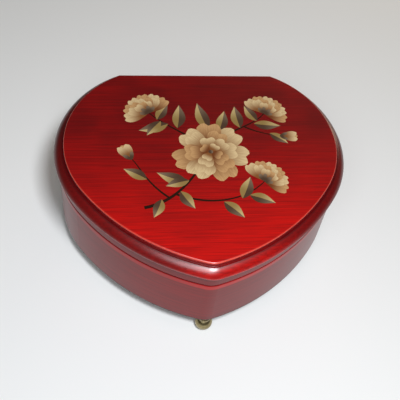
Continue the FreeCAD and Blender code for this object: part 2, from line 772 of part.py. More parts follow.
def hinge_screw(side, n, m, x, dx):
    """Countersunk screw, its head flush with the leaf."""
    tag = "%s_screw_%d_%d" % (side["name"], n, m)
    at = ("%s + (%s)" % (x, dx), "hinge_y - hinge_screw_set", "parting_z")
    head = taper(tag + "_head", "hinge_screw_head", "hinge_screw_radius", "leaf_thickness", at, side["turn"])
    length = "leaf_thickness + hinge_screw_length"
    shank = rod(tag + "_shank", "hinge_screw_radius", length, at, side["turn"])
    return fuse(tag, [head, shank])


def build_hinges():
    for side, outer in ((CASE_SIDE, True), (LID_SIDE, False)):
        leaves = [hinge_leaf(side, n, x, outer) for n, x in enumerate(HINGES)]
        name = "hinge_leaves_" + side["name"]
        sub_part(name, group(name, leaves))
        screws = [
            hinge_screw(side, n, m, x, dx) for n, x in enumerate(HINGES) for m, dx in enumerate(LEAF_SCREWS)
        ]
        name = "hinge_screws_" + side["name"]
        sub_part(name, group(name, screws))
    pins = []
    for n, x in enumerate(HINGES):
        at = ("%s - hinge_length / 2" % x, "hinge_y", "parting_z")
        pins.append(rod("hinge_pin_%d" % n, "hinge_pin_radius", "hinge_length", at, ALONG_X))
    sub_part("hinge_pins", group("hinge_pins", pins))


# Screws that hold the comb on its shelf, and the two in the foot of the governor cock
COMB_SCREWS = (
    "cylinder_x + cylinder_length / 2 - comb_screw_spacing / 2",
    "cylinder_x + cylinder_length / 2 + comb_screw_spacing / 2",
)
COMB_SCREW_Y = "comb_end_y + comb_base_length / 2"
COCK_SCREW = ("cock_x + cock_thickness + cock_foot / 2", "second_y")


def build_bedplate():
    """Cast plate with two bearing arms for the arbors and a shelf for the comb."""
    plate_dims = ("bed_length", "bed_width", "bed_thickness")
    plate = box("bed_blank", plate_dims, ("-bed_length / 2", "bed_front_y", "base_top"))
    pieces = [plate]
    left_dims = ("arm_thickness", "2 * arm_radius", "axis_z - bed_top")
    pieces.append(box("left_arm", left_dims, ("left_arm_x", "train_y - arm_radius", "bed_top")))
    pieces.append(rod("left_head", "arm_radius", "arm_thickness", ("left_arm_x", "train_y", "axis_z"), ALONG_X))
    right_dims = ("arm_thickness", "second_y - train_y + 2 * arm_radius", "axis_z - bed_top")
    pieces.append(box("right_arm", right_dims, ("right_arm_x", "train_y - arm_radius", "bed_top")))
    for name, y in (("right_head", "train_y"), ("second_head", "second_y")):
        pieces.append(rod(name, "arm_radius", "arm_thickness", ("right_arm_x", y, "axis_z"), ALONG_X))
    shelf_dims = ("cylinder_length", "comb_base_length", "comb_bottom - bed_top")
    pieces.append(box("comb_shelf", shelf_dims, ("cylinder_x", "comb_end_y", "bed_top")))
    bearing = "cylinder_arbor_radius + running_fit"
    second = "second_arbor_radius + running_fit"
    ways = [
        rod("left_bearing", bearing, "arm_thickness", ("left_arm_x", "train_y", "axis_z"), ALONG_X),
        rod("right_bearing", bearing, "arm_thickness", ("right_arm_x", "train_y", "axis_z"), ALONG_X),
        rod("second_bearing", second, "arm_thickness", ("right_arm_x", "second_y", "axis_z"), ALONG_X),
        rod("arbor_bearing", "arbor_radius + running_fit", "bed_thickness", ("barrel_x", "train_y", "base_top")),
    ]
    pivot_at = ("governor_x", "governor_y", "bed_top - governor_sink")
    ways.append(rod("governor_pivot", "governor_radius + running_fit", "governor_sink", pivot_at))
    for n, (x, y) in enumerate(BED_SCREWS):
        ways.append(rod("bed_thread_%d" % n, "bed_screw_radius + running_fit", "bed_thickness", (x, y, "base_top")))
    for n, x in enumerate(COMB_SCREWS):
        at = (x, COMB_SCREW_Y, "comb_bottom - comb_screw_depth")
        ways.append(rod("comb_thread_%d" % n, "comb_screw_radius + running_fit", "comb_screw_depth", at))
    cock_at = (*COCK_SCREW, "base_top")
    ways.append(rod("cock_thread", "cock_screw_radius + running_fit", "bed_thickness", cock_at))
    sub_part("bedplate", cut("bedplate", fuse("bed_solid", pieces), ways))


def build_screws():
    bed = []
    for n, (x, y) in enumerate(BED_SCREWS):
        head = rod("bed_screw_head_%d" % n, "bed_screw_head", "bed_screw_head_height", (x, y, "foot_height"))
        length = "base_thickness + bed_thickness"
        shank = rod("bed_screw_shank_%d" % n, "bed_screw_radius", length, (x, y, "foot_height"))
        bed.append(fuse("bed_screw_%d" % n, [head, shank]))
    sub_part("movement_screws", group("movement_screws", bed))
    comb = []
    for n, x in enumerate(COMB_SCREWS):
        top = "comb_bottom + comb_base_thickness"
        head = rod("comb_screw_head_%d" % n, "comb_screw_head", "comb_screw_head_height", (x, COMB_SCREW_Y, top))
        length = "comb_screw_depth + comb_base_thickness"
        low = (x, COMB_SCREW_Y, "comb_bottom - comb_screw_depth")
        comb.append(fuse("comb_screw_%d" % n, [head, rod("comb_screw_shank_%d" % n, "comb_screw_radius", length, low)]))
    sub_part("comb_screws", group("comb_screws", comb))
    cock_head = (*COCK_SCREW, "bed_top + cock_thickness")
    head = rod("cock_screw_top", "cock_screw_head", "cock_screw_head_height", cock_head)
    shank_length = "bed_thickness + cock_thickness"
    shank = rod("cock_screw_shank", "cock_screw_radius", shank_length, (*COCK_SCREW, "base_top"))
    sub_part("cock_screw", fuse("cock_screw", [head, shank]))


def build_comb():
    """Steel comb: a thick base and one tooth for each note, shorter towards the high notes."""
    notes = int(size("note_count"))
    pitch = size("comb_pitch")
    slot = size("comb_slot")
    reach = size("comb_base_length") + size("comb_long_tooth")
    points = [FreeCAD.Vector(0, 0, 0), FreeCAD.Vector(notes * pitch, 0, 0)]
    for note in reversed(range(notes)):
        share = note / (notes - 1)
        tooth = size("comb_long_tooth") * (1 - share) + size("comb_short_tooth") * share
        right = (note + 1) * pitch - (slot / 2 if note < notes - 1 else 0)
        left = note * pitch + (slot / 2 if note > 0 else 0)
        points += [FreeCAD.Vector(right, reach - tooth, 0)] if note < notes - 1 else []
        points += [FreeCAD.Vector(right, reach, 0), FreeCAD.Vector(left, reach, 0)]
        points += [FreeCAD.Vector(left, reach - tooth, 0)] if note > 0 else []
    blank = Part.Face(Part.makePolygon(points + points[:1]))
    teeth = feature(
        "comb_teeth",
        blank.extrude(FreeCAD.Vector(0, 0, size("comb_tooth_thickness"))),
        ("comb_x", "comb_end_y", "comb_bottom"),
    )
    base_dims = ("comb_pitch * note_count", "comb_base_length", "comb_base_thickness")
    base = box("comb_base", base_dims, ("comb_x", "comb_end_y", "comb_bottom"))
    ways = []
    for n, x in enumerate(COMB_SCREWS):
        at = (x, COMB_SCREW_Y, "comb_bottom")
        ways.append(rod("comb_way_%d" % n, "comb_screw_radius + running_fit", "comb_base_thickness", at))
    sub_part("comb", cut("comb", fuse("comb_solid", [teeth, base]), ways))


def tooth_points(teeth, module):
    """Corners of a spur gear with straight flanks, a tooth on its local +X."""
    pitch_radius = module * teeth / 2
    tip = pitch_radius + size("tip_height") * module
    root = pitch_radius - size("root_depth") * module
    tip_half = size("tip_share") / 2
    root_half = size("root_share") / 2
    points = []
    for k in range(teeth):
        for radius, share in ((root, -root_half), (tip, -tip_half), (tip, tip_half), (root, root_half)):
            angle = 2 * math.pi * (k + share) / teeth
            points.append(FreeCAD.Vector(radius * math.cos(angle), radius * math.sin(angle), 0))
    return points


def gear(name, teeth, module, width, bore, at):
    """A spur gear on an arbor along X."""
    points = tooth_points(int(size(teeth)), size(module))
    blank = Part.Face(Part.makePolygon(points + points[:1])).extrude(FreeCAD.Vector(0, 0, size(width)))
    hole = Part.makeCylinder(size(bore), size(width))
    sub_part(name, feature(name, blank.cut(hole), at, ALONG_X))


def build_train():
    """Wheels and arbors from the cylinder to the governor."""
    left = "pinion_x - fit_gap"
    length = "right_arm_x + arm_thickness + fit_gap - (pinion_x - fit_gap)"
    arbor = rod("cylinder_arbor", "cylinder_arbor_radius", length, (left, "train_y", "axis_z"), ALONG_X)
    sub_part("cylinder_arbor", arbor)
    second_length = "cock_x + cock_thickness + fit_gap - wheel_x"
    second_at = ("wheel_x", "second_y", "axis_z")
    sub_part("second_arbor", rod("second_arbor", "second_arbor_radius", second_length, second_at, ALONG_X))
    main_at = ("pinion_x", "train_y", "axis_z")
    gear("cylinder_pinion", "pinion_teeth", "barrel_module", "pinion_width", "cylinder_arbor_radius", main_at)
    wheel_at = ("wheel_x", "train_y", "axis_z")
    gear("great_wheel", "wheel_teeth", "train_module", "wheel_width", "cylinder_arbor_radius", wheel_at)
    gear("second_pinion", "second_teeth", "train_module", "wheel_width", "second_arbor_radius", second_at)
    worm_at = ("worm_wheel_x", "second_y", "axis_z")
    gear("worm_wheel", "worm_teeth", "train_module", "worm_wheel_width", "second_arbor_radius", worm_at)


def build_cylinder():
    """Brass drum with rows of steel pins, spread round it so that no two notes strike alike."""
    radius = size("cylinder_radius")
    length = size("cylinder_length")
    width = size("pin_width")
    strokes = int(size("pins_per_note"))
    drum = Part.makeCylinder(radius, length)
    pins = []
    for note in range(int(size("note_count"))):
        along = size("comb_margin") + (note + 0.5) * size("comb_pitch")
        for stroke in range(strokes):
            pin = Part.makeBox(radius / 2 + size("pin_height"), width, width)
            pin.translate(FreeCAD.Vector(radius / 2, -width / 2, along - width / 2))
            turn = 360 * ((note * strokes + stroke) * GOLDEN_SHARE % 1)
            pin.rotate(FreeCAD.Vector(), FreeCAD.Vector(0, 0, 1), turn)
            pins.append(pin)
    bore = Part.makeCylinder(size("cylinder_arbor_radius"), length)
    shape = drum.multiFuse(pins).cut(bore)
    sub_part("cylinder", feature("cylinder", shape, ("cylinder_x", "train_y", "axis_z"), ALONG_X))


def build_barrel():
    """Spring barrel: an open drum whose rim carries crown teeth that drive the cylinder pinion."""
    module = size("barrel_module")
    teeth = int(size("barrel_teeth"))
    outer = size("barrel_radius")
    inner = outer - size("barrel_wall")
    height = size("barrel_height")
    drum = Part.makeCylinder(outer, height)
    room = Part.makeCylinder(inner, height, FreeCAD.Vector(0, 0, size("barrel_floor")))
    hole = Part.makeCylinder(size("arbor_radius") + size("running_fit"), size("barrel_floor"))
    drum = drum.cut(room).cut(hole)
    pitch = math.pi * module
    top = height + (size("root_depth") + size("tip_height")) * module
    root_half = size("root_share") * pitch / 2
    tip_half = size("tip_share") * pitch / 2
    outer_flat = math.sqrt(outer ** 2 - root_half ** 2)
    corners = [
        FreeCAD.Vector(inner, -root_half, height),
        FreeCAD.Vector(inner, -tip_half, top),
        FreeCAD.Vector(inner, tip_half, top),
        FreeCAD.Vector(inner, root_half, height),
    ]
    tooth = Part.Face(Part.makePolygon(corners + corners[:1])).extrude(FreeCAD.Vector(outer_flat - inner, 0, 0))
    ring = []
    for k in range(teeth):
        copy = tooth.copy()
        copy.rotate(FreeCAD.Vector(), FreeCAD.Vector(0, 0, 1), 360 * (k + 0.5) / teeth)
        ring.append(copy)
    at = ("barrel_x", "train_y", "barrel_bottom")
    sub_part("spring_barrel", feature("spring_barrel", drum.multiFuse(ring), at))
    cover_at = ("barrel_x", "train_y", "barrel_cover_bottom")
    radius = "barrel_radius - barrel_wall - running_fit"
    disc = rod("barrel_cover_blank", radius, "barrel_cover_thickness", cover_at)
    way = rod("barrel_cover_way", "arbor_radius + running_fit", "barrel_cover_thickness", cover_at)
    sub_part("barrel_cover", cut("barrel_cover", disc, [way]))


def spiral_side(offset):
    """Edges and joints of one side of the mainspring strip, in half turns about two centres."""
    radius = size("spring_inner_radius") + offset
    half_pitch = size("spring_pitch") / 2
    edges = []
    joints = [FreeCAD.Vector(radius, 0, 0)]
    for k in range(2 * int(size("spring_turns"))):
        forward = 1 if k % 2 == 0 else -1
        centre = FreeCAD.Vector(0 if k % 2 == 0 else half_pitch, 0, 0)
        reach = radius + k * half_pitch
        start = centre + FreeCAD.Vector(forward * reach, 0, 0)
        middle = centre + FreeCAD.Vector(0, forward * reach, 0)
        end = centre - FreeCAD.Vector(forward * reach, 0, 0)
        edges.append(Part.Arc(start, middle, end).toShape())
        joints.append(end)
    return edges, joints


def build_mainspring():
    """One unbroken steel strip wound in the barrel."""
    half = size("spring_strip") / 2
    inside, inner_joints = spiral_side(-half)
    outside, outer_joints = spiral_side(half)
    ends = [
        Part.LineSegment(inner_joints[0], outer_joints[0]).toShape(),
        Part.LineSegment(inner_joints[-1], outer_joints[-1]).toShape(),
    ]
    profile = Part.Wire(Part.__sortEdges__(inside + outside + ends))
    floor = size("barrel_floor") + size("spring_end_gap")
    width = size("barrel_cover_bottom") - size("barrel_bottom") - floor - size("spring_end_gap")
    strip = Part.Face(profile).extrude(FreeCAD.Vector(0, 0, width))
    coils = [edge.valueAt(edge.FirstParameter + share * (edge.LastParameter - edge.FirstParameter))
             for edge in outside for share in (0.0, 0.25, 0.5, 0.75)]
    facing = [edge.valueAt(edge.FirstParameter + share * (edge.LastParameter - edge.FirstParameter))
              for edge in inside[2:] for share in (0.0, 0.25, 0.5, 0.75)]
    least = min(a.distanceToPoint(b) for a, b in zip(coils, facing))
    print("mainspring: least gap between turns %.2f mm" % least)
    at = ("barrel_x", "train_y", "barrel_bottom + barrel_floor + spring_end_gap")
    sub_part("mainspring", feature("mainspring", strip, at))


def build_winding():
    """Arbor through the bedplate, and a butterfly key on its end under the base."""
    foot = ("barrel_x", "train_y", "key_floor_gap")
    length = "barrel_cover_bottom + barrel_cover_thickness - key_floor_gap"
    stem = rod("arbor_stem", "arbor_radius", length, foot)
    collar_at = ("barrel_x", "train_y", "base_top - collar_height - fit_gap")
    collar = rod("arbor_collar", "collar_radius", "collar_height", collar_at)
    sub_part("winding_arbor", fuse("winding_arbor", [stem, collar]))
    wings = []
    eyes = []
    middle = "key_floor_gap + key_wing_radius"
    for n, dx in enumerate(("-key_wing_spacing / 2", "key_wing_spacing / 2")):
        at = ("barrel_x + (%s)" % dx, "train_y - key_thickness / 2", middle)
        wings.append(rod("key_wing_%d" % n, "key_wing_radius", "key_thickness", at, ALONG_Y))
        eyes.append(rod("key_eye_%d" % n, "key_eye_radius", "key_thickness", at, ALONG_Y))
    bar_dims = ("key_wing_spacing", "key_thickness", "key_wing_radius")
    bar_at = ("barrel_x - key_wing_spacing / 2", "train_y - key_thickness / 2", middle + " - key_wing_radius / 2")
    bar = box("key_bar", bar_dims, bar_at)
    hub_length = "foot_height - key_base_gap - key_floor_gap"
    hub = rod("key_hub", "key_hub_radius", hub_length, foot)
    socket = rod("key_socket", "arbor_radius", hub_length, foot)
    solid = fuse("key_solid", wings + [bar, hub])
    sub_part("winding_key", cut("winding_key", solid, eyes + [socket]))


def worm_thread():
    """Right-hand thread of straight facets round the governor, one start."""
    lead = math.pi * size("train_module")
    per_turn = 12
    count = int(size("worm_turns")) * per_turn
    core = size("worm_core_radius") / 2
    pitch_radius = size("worm_pitch_radius")
    depth = size("tip_height") * size("train_module")
    tip = pitch_radius + depth
    # Flank slope as on the wheel, carried down into the core
    slope = (size("root_share") - size("tip_share")) / 2 * lead / (tip - size("worm_core_radius"))
    tip_half = size("tip_share") * lead / 2
    root_half = tip_half + slope * (tip - core)
    start = -count / per_turn / 2
    rings = []
    for k in range(count + 1):
        turn = start + k / per_turn
        angle = 2 * math.pi * turn + math.pi / 2
        level = lead * turn
        ring = []
        for radius, half in ((core, -root_half), (tip, -tip_half), (tip, tip_half), (core, root_half)):
            ring.append(FreeCAD.Vector(radius * math.cos(angle), radius * math.sin(angle), level + half))
        rings.append(ring)
    faces = [Part.Face(Part.makePolygon(ring + ring[:1])) for ring in (rings[0], rings[-1])]
    for ring, following in zip(rings, rings[1:]):
        for i in range(4):
            a, b = ring[i], ring[(i + 1) % 4]
            c, d = following[(i + 1) % 4], following[i]
            faces.append(Part.Face(Part.makePolygon([a, b, c, a])))
            faces.append(Part.Face(Part.makePolygon([a, c, d, a])))
    shell = Part.makeShell(faces)
    shell.sewShape()
    thread = Part.makeSolid(shell)
    if thread.Volume < 0:
        thread.reverse()
    return thread


def build_governor():
    """Worm, brake drum and two-vane fly on one upright arbor, and the cock that holds its upper end."""
    lead_half = math.pi * size("train_module") * (size("worm_turns") + 1) / 2
    low = size("bed_top") - size("governor_sink")
    axis = size("axis_z")
    top = size("bed_top") + size("cock_level") + size("cock_thickness")
    stem = Part.makeCylinder(size("governor_radius"), top - low, FreeCAD.Vector(0, 0, low - axis))
    core = Part.makeCylinder(size("worm_core_radius"), 2 * lead_half, FreeCAD.Vector(0, 0, -lead_half))
    brake_at = FreeCAD.Vector(0, 0, size("bed_top") + size("brake_level") - axis)
    brake = Part.makeCylinder(size("brake_radius"), size("brake_height"), brake_at)
    worm = core.fuse(worm_thread()).fuse(stem).fuse(brake)
    at = ("governor_x", "governor_y", "axis_z")
    sub_part("governor_worm", feature("governor_worm", worm, at))
    fly_z = "bed_top + fly_level"
    hub = rod("fly_hub", "fly_hub_radius", "fly_height", ("governor_x", "governor_y", fly_z))
    vane_at = ("governor_x - fly_radius", "governor_y - fly_thickness / 2", fly_z)
    vanes = box("fly_vanes", ("2 * fly_radius", "fly_thickness", "fly_height"), vane_at)
    way = rod("fly_way", "governor_radius", "fly_height", ("governor_x", "governor_y", fly_z))
    sub_part("governor_fly", cut("governor_fly", fuse("fly_solid", [hub, vanes]), [way]))
    rise = "cock_level + cock_thickness"
    upright = box("cock_upright", ("cock_thickness", "cock_width", rise), ("cock_x", "cock_y", "bed_top"))
    foot_dims = ("cock_thickness + cock_foot", "cock_width", "cock_thickness")
    foot = box("cock_foot_plate", foot_dims, ("cock_x", "cock_y", "bed_top"))
    bridge_length = "cock_x + cock_thickness - governor_x + fly_hub_radius"
    bridge_dims = (bridge_length, "governor_y + fly_hub_radius - cock_y", "cock_thickness")
    bridge_at = ("governor_x - fly_hub_radius", "cock_y", "bed_top + cock_level")
    bridge = box("cock_bridge", bridge_dims, bridge_at)
    second = "second_arbor_radius + running_fit"
    pivot_at = ("governor_x", "governor_y", "bed_top + cock_level")
    ways = [
        rod("cock_bearing", second, "cock_thickness", ("cock_x", "second_y", "axis_z"), ALONG_X),
        rod("cock_pivot", "governor_radius + running_fit", "cock_thickness", pivot_at),
        rod("cock_way", "cock_screw_radius + running_fit", "cock_thickness", (*COCK_SCREW, "bed_top")),
    ]
    sub_part("governor_cock", cut("governor_cock", fuse("cock_solid", [upright, foot, bridge]), ways))


def build_start_and_stop():
    """The lid holds the start pin down; its cam then keeps the stop lever at the brake drum."""
    post_at = ("post_x", "lever_y", "bed_top")
    shoulder = rod("post_shoulder_rod", "post_shoulder", "lever_level - fit_gap", post_at)
    stem_length = "lever_level + lever_thickness + post_head_height + fit_gap"
    stem = rod("post_stem", "post_radius", stem_length, post_at)
    head_at = ("post_x", "lever_y", "lever_z + lever_thickness + fit_gap")
    head = rod("post_head", "post_shoulder", "post_head_height", head_at)
    sub_part("lever_post", fuse("lever_post", [shoulder, stem, head]))
    bar_at = ("post_x - lever_tail", "lever_y - lever_width / 2", "lever_z")
    bar = box("lever_bar", ("lever_tail + lever_nose", "lever_width", "lever_thickness"), bar_at)
    boss = rod("lever_boss", "post_shoulder", "lever_thickness", ("post_x", "lever_y", "lever_z"))
    tip_at = ("post_x + lever_nose", "lever_y - lever_width / 2 - lever_pad", "lever_z")
    tip_dims = ("lever_offset - lever_nose + brake_radius", "lever_width + lever_pad", "lever_thickness")
    tip = box("lever_tip", tip_dims, tip_at)
    way = rod("lever_way", "post_radius + running_fit", "lever_thickness", ("post_x", "lever_y", "lever_z"))
    sub_part("stop_lever", cut("stop_lever", fuse("lever_solid", [bar, boss, tip]), [way]))
    cone_at = ("start_x", "start_y", "lever_z - start_travel")
    cone_length = "start_travel + lever_thickness"
    tip_cone = taper("start_tip", "start_tip_radius", "start_cam_radius", cone_length, cone_at)
    cam_at = ("start_x", "start_y", "lever_z + lever_thickness")
    cam = rod("start_cam", "start_cam_radius", "start_cam_height", cam_at)
    stem = rod("start_stem", "start_pin_radius", "start_top - lever_z", ("start_x", "start_y", "lever_z"))
    sub_part("start_pin", fuse("start_pin", [tip_cone, cam, stem]))
    sleeve_length = "cover_thickness + bush_drop"
    sleeve = rod("bush_sleeve", "bush_radius", sleeve_length, ("start_x", "start_y", "cover_bottom - bush_drop"))
    flange_at = ("start_x", "start_y", "cover_bottom + cover_thickness")
    flange = rod("bush_flange", "bush_flange_radius", "bush_flange_height", flange_at)
    bore_length = "cover_thickness + bush_drop + bush_flange_height"
    bore_at = ("start_x", "start_y", "cover_bottom - bush_drop")
    bore = rod("bush_bore", "start_pin_radius + running_fit", bore_length, bore_at)
    sub_part("pin_bush", cut("pin_bush", fuse("bush_solid", [sleeve, flange]), [bore]))


def check_and_write():
    """Stops if any object failed, and then writes one file for each sub-part."""
    doc.recompute()
    for obj in doc.Objects:
        if "Invalid" in obj.State or "Error" in obj.State:
            raise RuntimeError("failed: " + obj.Label)
    for obj in sub_parts:
        if obj.Shape.isNull() or not obj.Shape.isValid():
            raise RuntimeError("bad shape: " + obj.Label)
    os.makedirs("parts", exist_ok=True)
    for obj in sub_parts:
        obj.Shape.exportStep("parts/%s.step" % obj.Label)
    print("%d sub-parts written" % len(sub_parts))


build_case_wall()
build_base_panel()
build_feet()
build_lid_panel()
build_lid_rim()
build_lid_lining()
build_floor_pad()
build_ring_rolls()
build_bay()
build_hinges()
build_bedplate()
build_screws()
build_comb()
build_cylinder()
build_train()
build_barrel()
build_mainspring()
build_winding()
build_governor()
build_start_and_stop()
check_and_write()
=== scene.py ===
import math

import bmesh
import bpy
from mathutils import Matrix, Vector


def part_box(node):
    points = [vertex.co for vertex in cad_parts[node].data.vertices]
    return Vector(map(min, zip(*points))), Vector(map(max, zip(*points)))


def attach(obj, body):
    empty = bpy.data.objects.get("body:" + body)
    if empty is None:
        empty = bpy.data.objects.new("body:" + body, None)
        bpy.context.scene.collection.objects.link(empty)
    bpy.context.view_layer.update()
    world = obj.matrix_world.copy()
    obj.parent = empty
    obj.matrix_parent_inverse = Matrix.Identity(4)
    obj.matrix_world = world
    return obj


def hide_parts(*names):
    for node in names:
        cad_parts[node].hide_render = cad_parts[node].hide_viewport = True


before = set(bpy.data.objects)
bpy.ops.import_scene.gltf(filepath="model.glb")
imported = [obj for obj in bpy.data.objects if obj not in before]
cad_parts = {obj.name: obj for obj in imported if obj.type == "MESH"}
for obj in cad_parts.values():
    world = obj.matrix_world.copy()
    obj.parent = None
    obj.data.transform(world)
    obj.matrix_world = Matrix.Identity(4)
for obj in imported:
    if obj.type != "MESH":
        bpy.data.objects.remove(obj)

bl_info = {
    "name": "Wind-up music box",
    "version": (1, 0, 0),
    "blender": (4, 5, 0),
    "location": "3D View > Sidebar > Music Box",
    "description": "Finishes a lacquered, inlaid music box round its CAD frame",
    "category": "Object",
}

MM = 0.001


def linear(code):
    """Linear colour, with alpha, of an sRGB hex code."""
    shares = [int(code[i:i + 2], 16) / 255 for i in (1, 3, 5)]
    return tuple(
        s / 12.92 if s <= 0.04045 else ((s + 0.055) / 1.055) ** 2.4 for s in shares
    ) + (1.0,)


def colour(name, description, code):
    """Colour property with an sRGB hex code as its default."""
    return bpy.props.FloatVectorProperty(
        name=name, description=description, subtype="COLOR", size=4, min=0, max=1,
        default=linear(code),
    )


def length(name, description, value):
    """Length property with its default in mm."""
    return bpy.props.FloatProperty(
        name=name, description=description, default=value * MM, min=0, unit="LENGTH",
    )


class MusicBoxColours(bpy.types.PropertyGroup):
    """Colours of the finishes."""

    # Also painted light: a brighter band along the wall's top, under the lid
    lacquer: colour("Lacquer", "Stain of the lid and of the edge under it", "#cb0602")
    # Real in the pores, and also painted shade in the moulding, the step, the wall's foot and the
    # parting line
    glaze_and_shade: colour("Glaze", "Deepest stain, in pores, grooves and along mouldings", "#3c0105")
    # Partly wear, partly a painted highlight along the arris, brightest at the front point
    rubbed_edge_and_highlight: colour("Rubbed edge", "Stain worn pale on the lid's arris", "#f05a42")
    # Random dark patches, and painted shade deepening towards the back of the lid and wall
    dark_lacquer_and_shade: colour("Dark lacquer", "Stain in patches and towards the back", "#620207")
    # Darker than the lid's lacquer: painted shade on the upright wall and rim
    wall: colour("Wall", "Stain of the case and rim", "#860306")
    brass: colour("Brass", "Fresh brass of the wheels and the cylinder", "#c9a355")
    aged_brass: colour("Aged brass", "Metal of the feet and hinges", "#b3a57c")
    brass_tarnish: colour("Tarnish", "Brown film in the hollows of the brass", "#5b4a28")
    steel: colour("Steel", "Comb, key and arbors", "#b9bcc0")
    zinc: colour("Zinc", "Gold wash of the cast bedplate", "#b99b5e")
    velvet: colour("Velvet", "Pile of the pads, ring rolls and lining", "#7a0f20")
    cream: colour("Pale veneer", "Lightest petals of the inlay", "#e3c998")
    peach: colour("Warm veneer", "Peach petals of the inlay", "#d0a470")
    olive: colour("Leaf veneer", "Light half of each leaf", "#cdb681")
    umber: colour("Shaded leaf veneer", "Dark half of each leaf", "#85705a")
    twig: colour("Twig veneer", "Twigs and scorched edges", "#3a1c0e")


class MusicBoxSizes(bpy.types.PropertyGroup):
    """Sizes that a user would change."""

    # Real grain and pile are too fine to show, so both are drawn a few times coarser
    grain_width: length("Grain width", "Distance between the streaks of the grain", 0.9)
    grain_length: length("Grain length", "Run of one streak", 38)
    pile: length("Pile", "Distance between the tufts of the velvet", 0.5)
    scorch: length("Scorched edge", "Width of the dark edge of each inlaid piece", 0.3)
    inlay_rise: length("Inlay step", "Rise from one piece of inlay to the next", 0.001)
    puff: length("Puff", "Most that the pads swell beyond their blocks", 0.22)


def chosen_colours():
    return bpy.context.scene.music_box_colours


def chosen_sizes():
    return bpy.context.scene.music_box_sizes


# Second tones of the finishes
STEEL_CLOUD, ZINC_CLOUD = "#7f8288", "#8f7d56"
# The velvet's gap tone is painted shade between the tufts of its pile
VELVET_LAID, VELVET_GAP_SHADE, VELVET_SHEEN = "#54091a", "#2c030a", "#d0566a"
ACRYLIC = "#f4f7f7"

# Sockets of a Mix node for colours, taken by number because their names repeat
SHARE, UNDER, OVER, MIXED = 0, 6, 7, 2

# Places in the red lacquer: where its painted shade deepens from front to back, and where the front
# point ends, along a line that leans to one side
SHADE_FRONT, SHADE_BACK = -62 * MM, 38 * MM
POINT_LEAN, POINT_START, POINT_END = -0.25, -68.5 * MM, -54 * MM
BAND_SOFTNESS = 0.1 * MM

# A piece of inlay is about this long, and its own UV map runs from 0 to 1 along it
PIECE_LENGTH = 15 * MM


def per(size):
    """Texture scale at which one feature takes up a size in metres."""
    return 1 / size


def add_node(mat, kind, inputs, **attributes):
    """Add a node, or take the material's shader, set its attributes, and set or link its inputs."""
    nodes = mat.node_tree.nodes
    node = nodes["Principled BSDF"] if kind == "shader" else nodes.new(kind)
    for key, value in attributes.items():
        setattr(node, key, value)
    for key, value in inputs.items():
        if isinstance(value, bpy.types.NodeSocket):
            mat.node_tree.links.new(value, node.inputs[key])
        else:
            node.inputs[key].default_value = value
    return node.outputs


def new_material(name):
    mat = bpy.data.materials.new(name)
    mat.use_nodes = True
    return mat


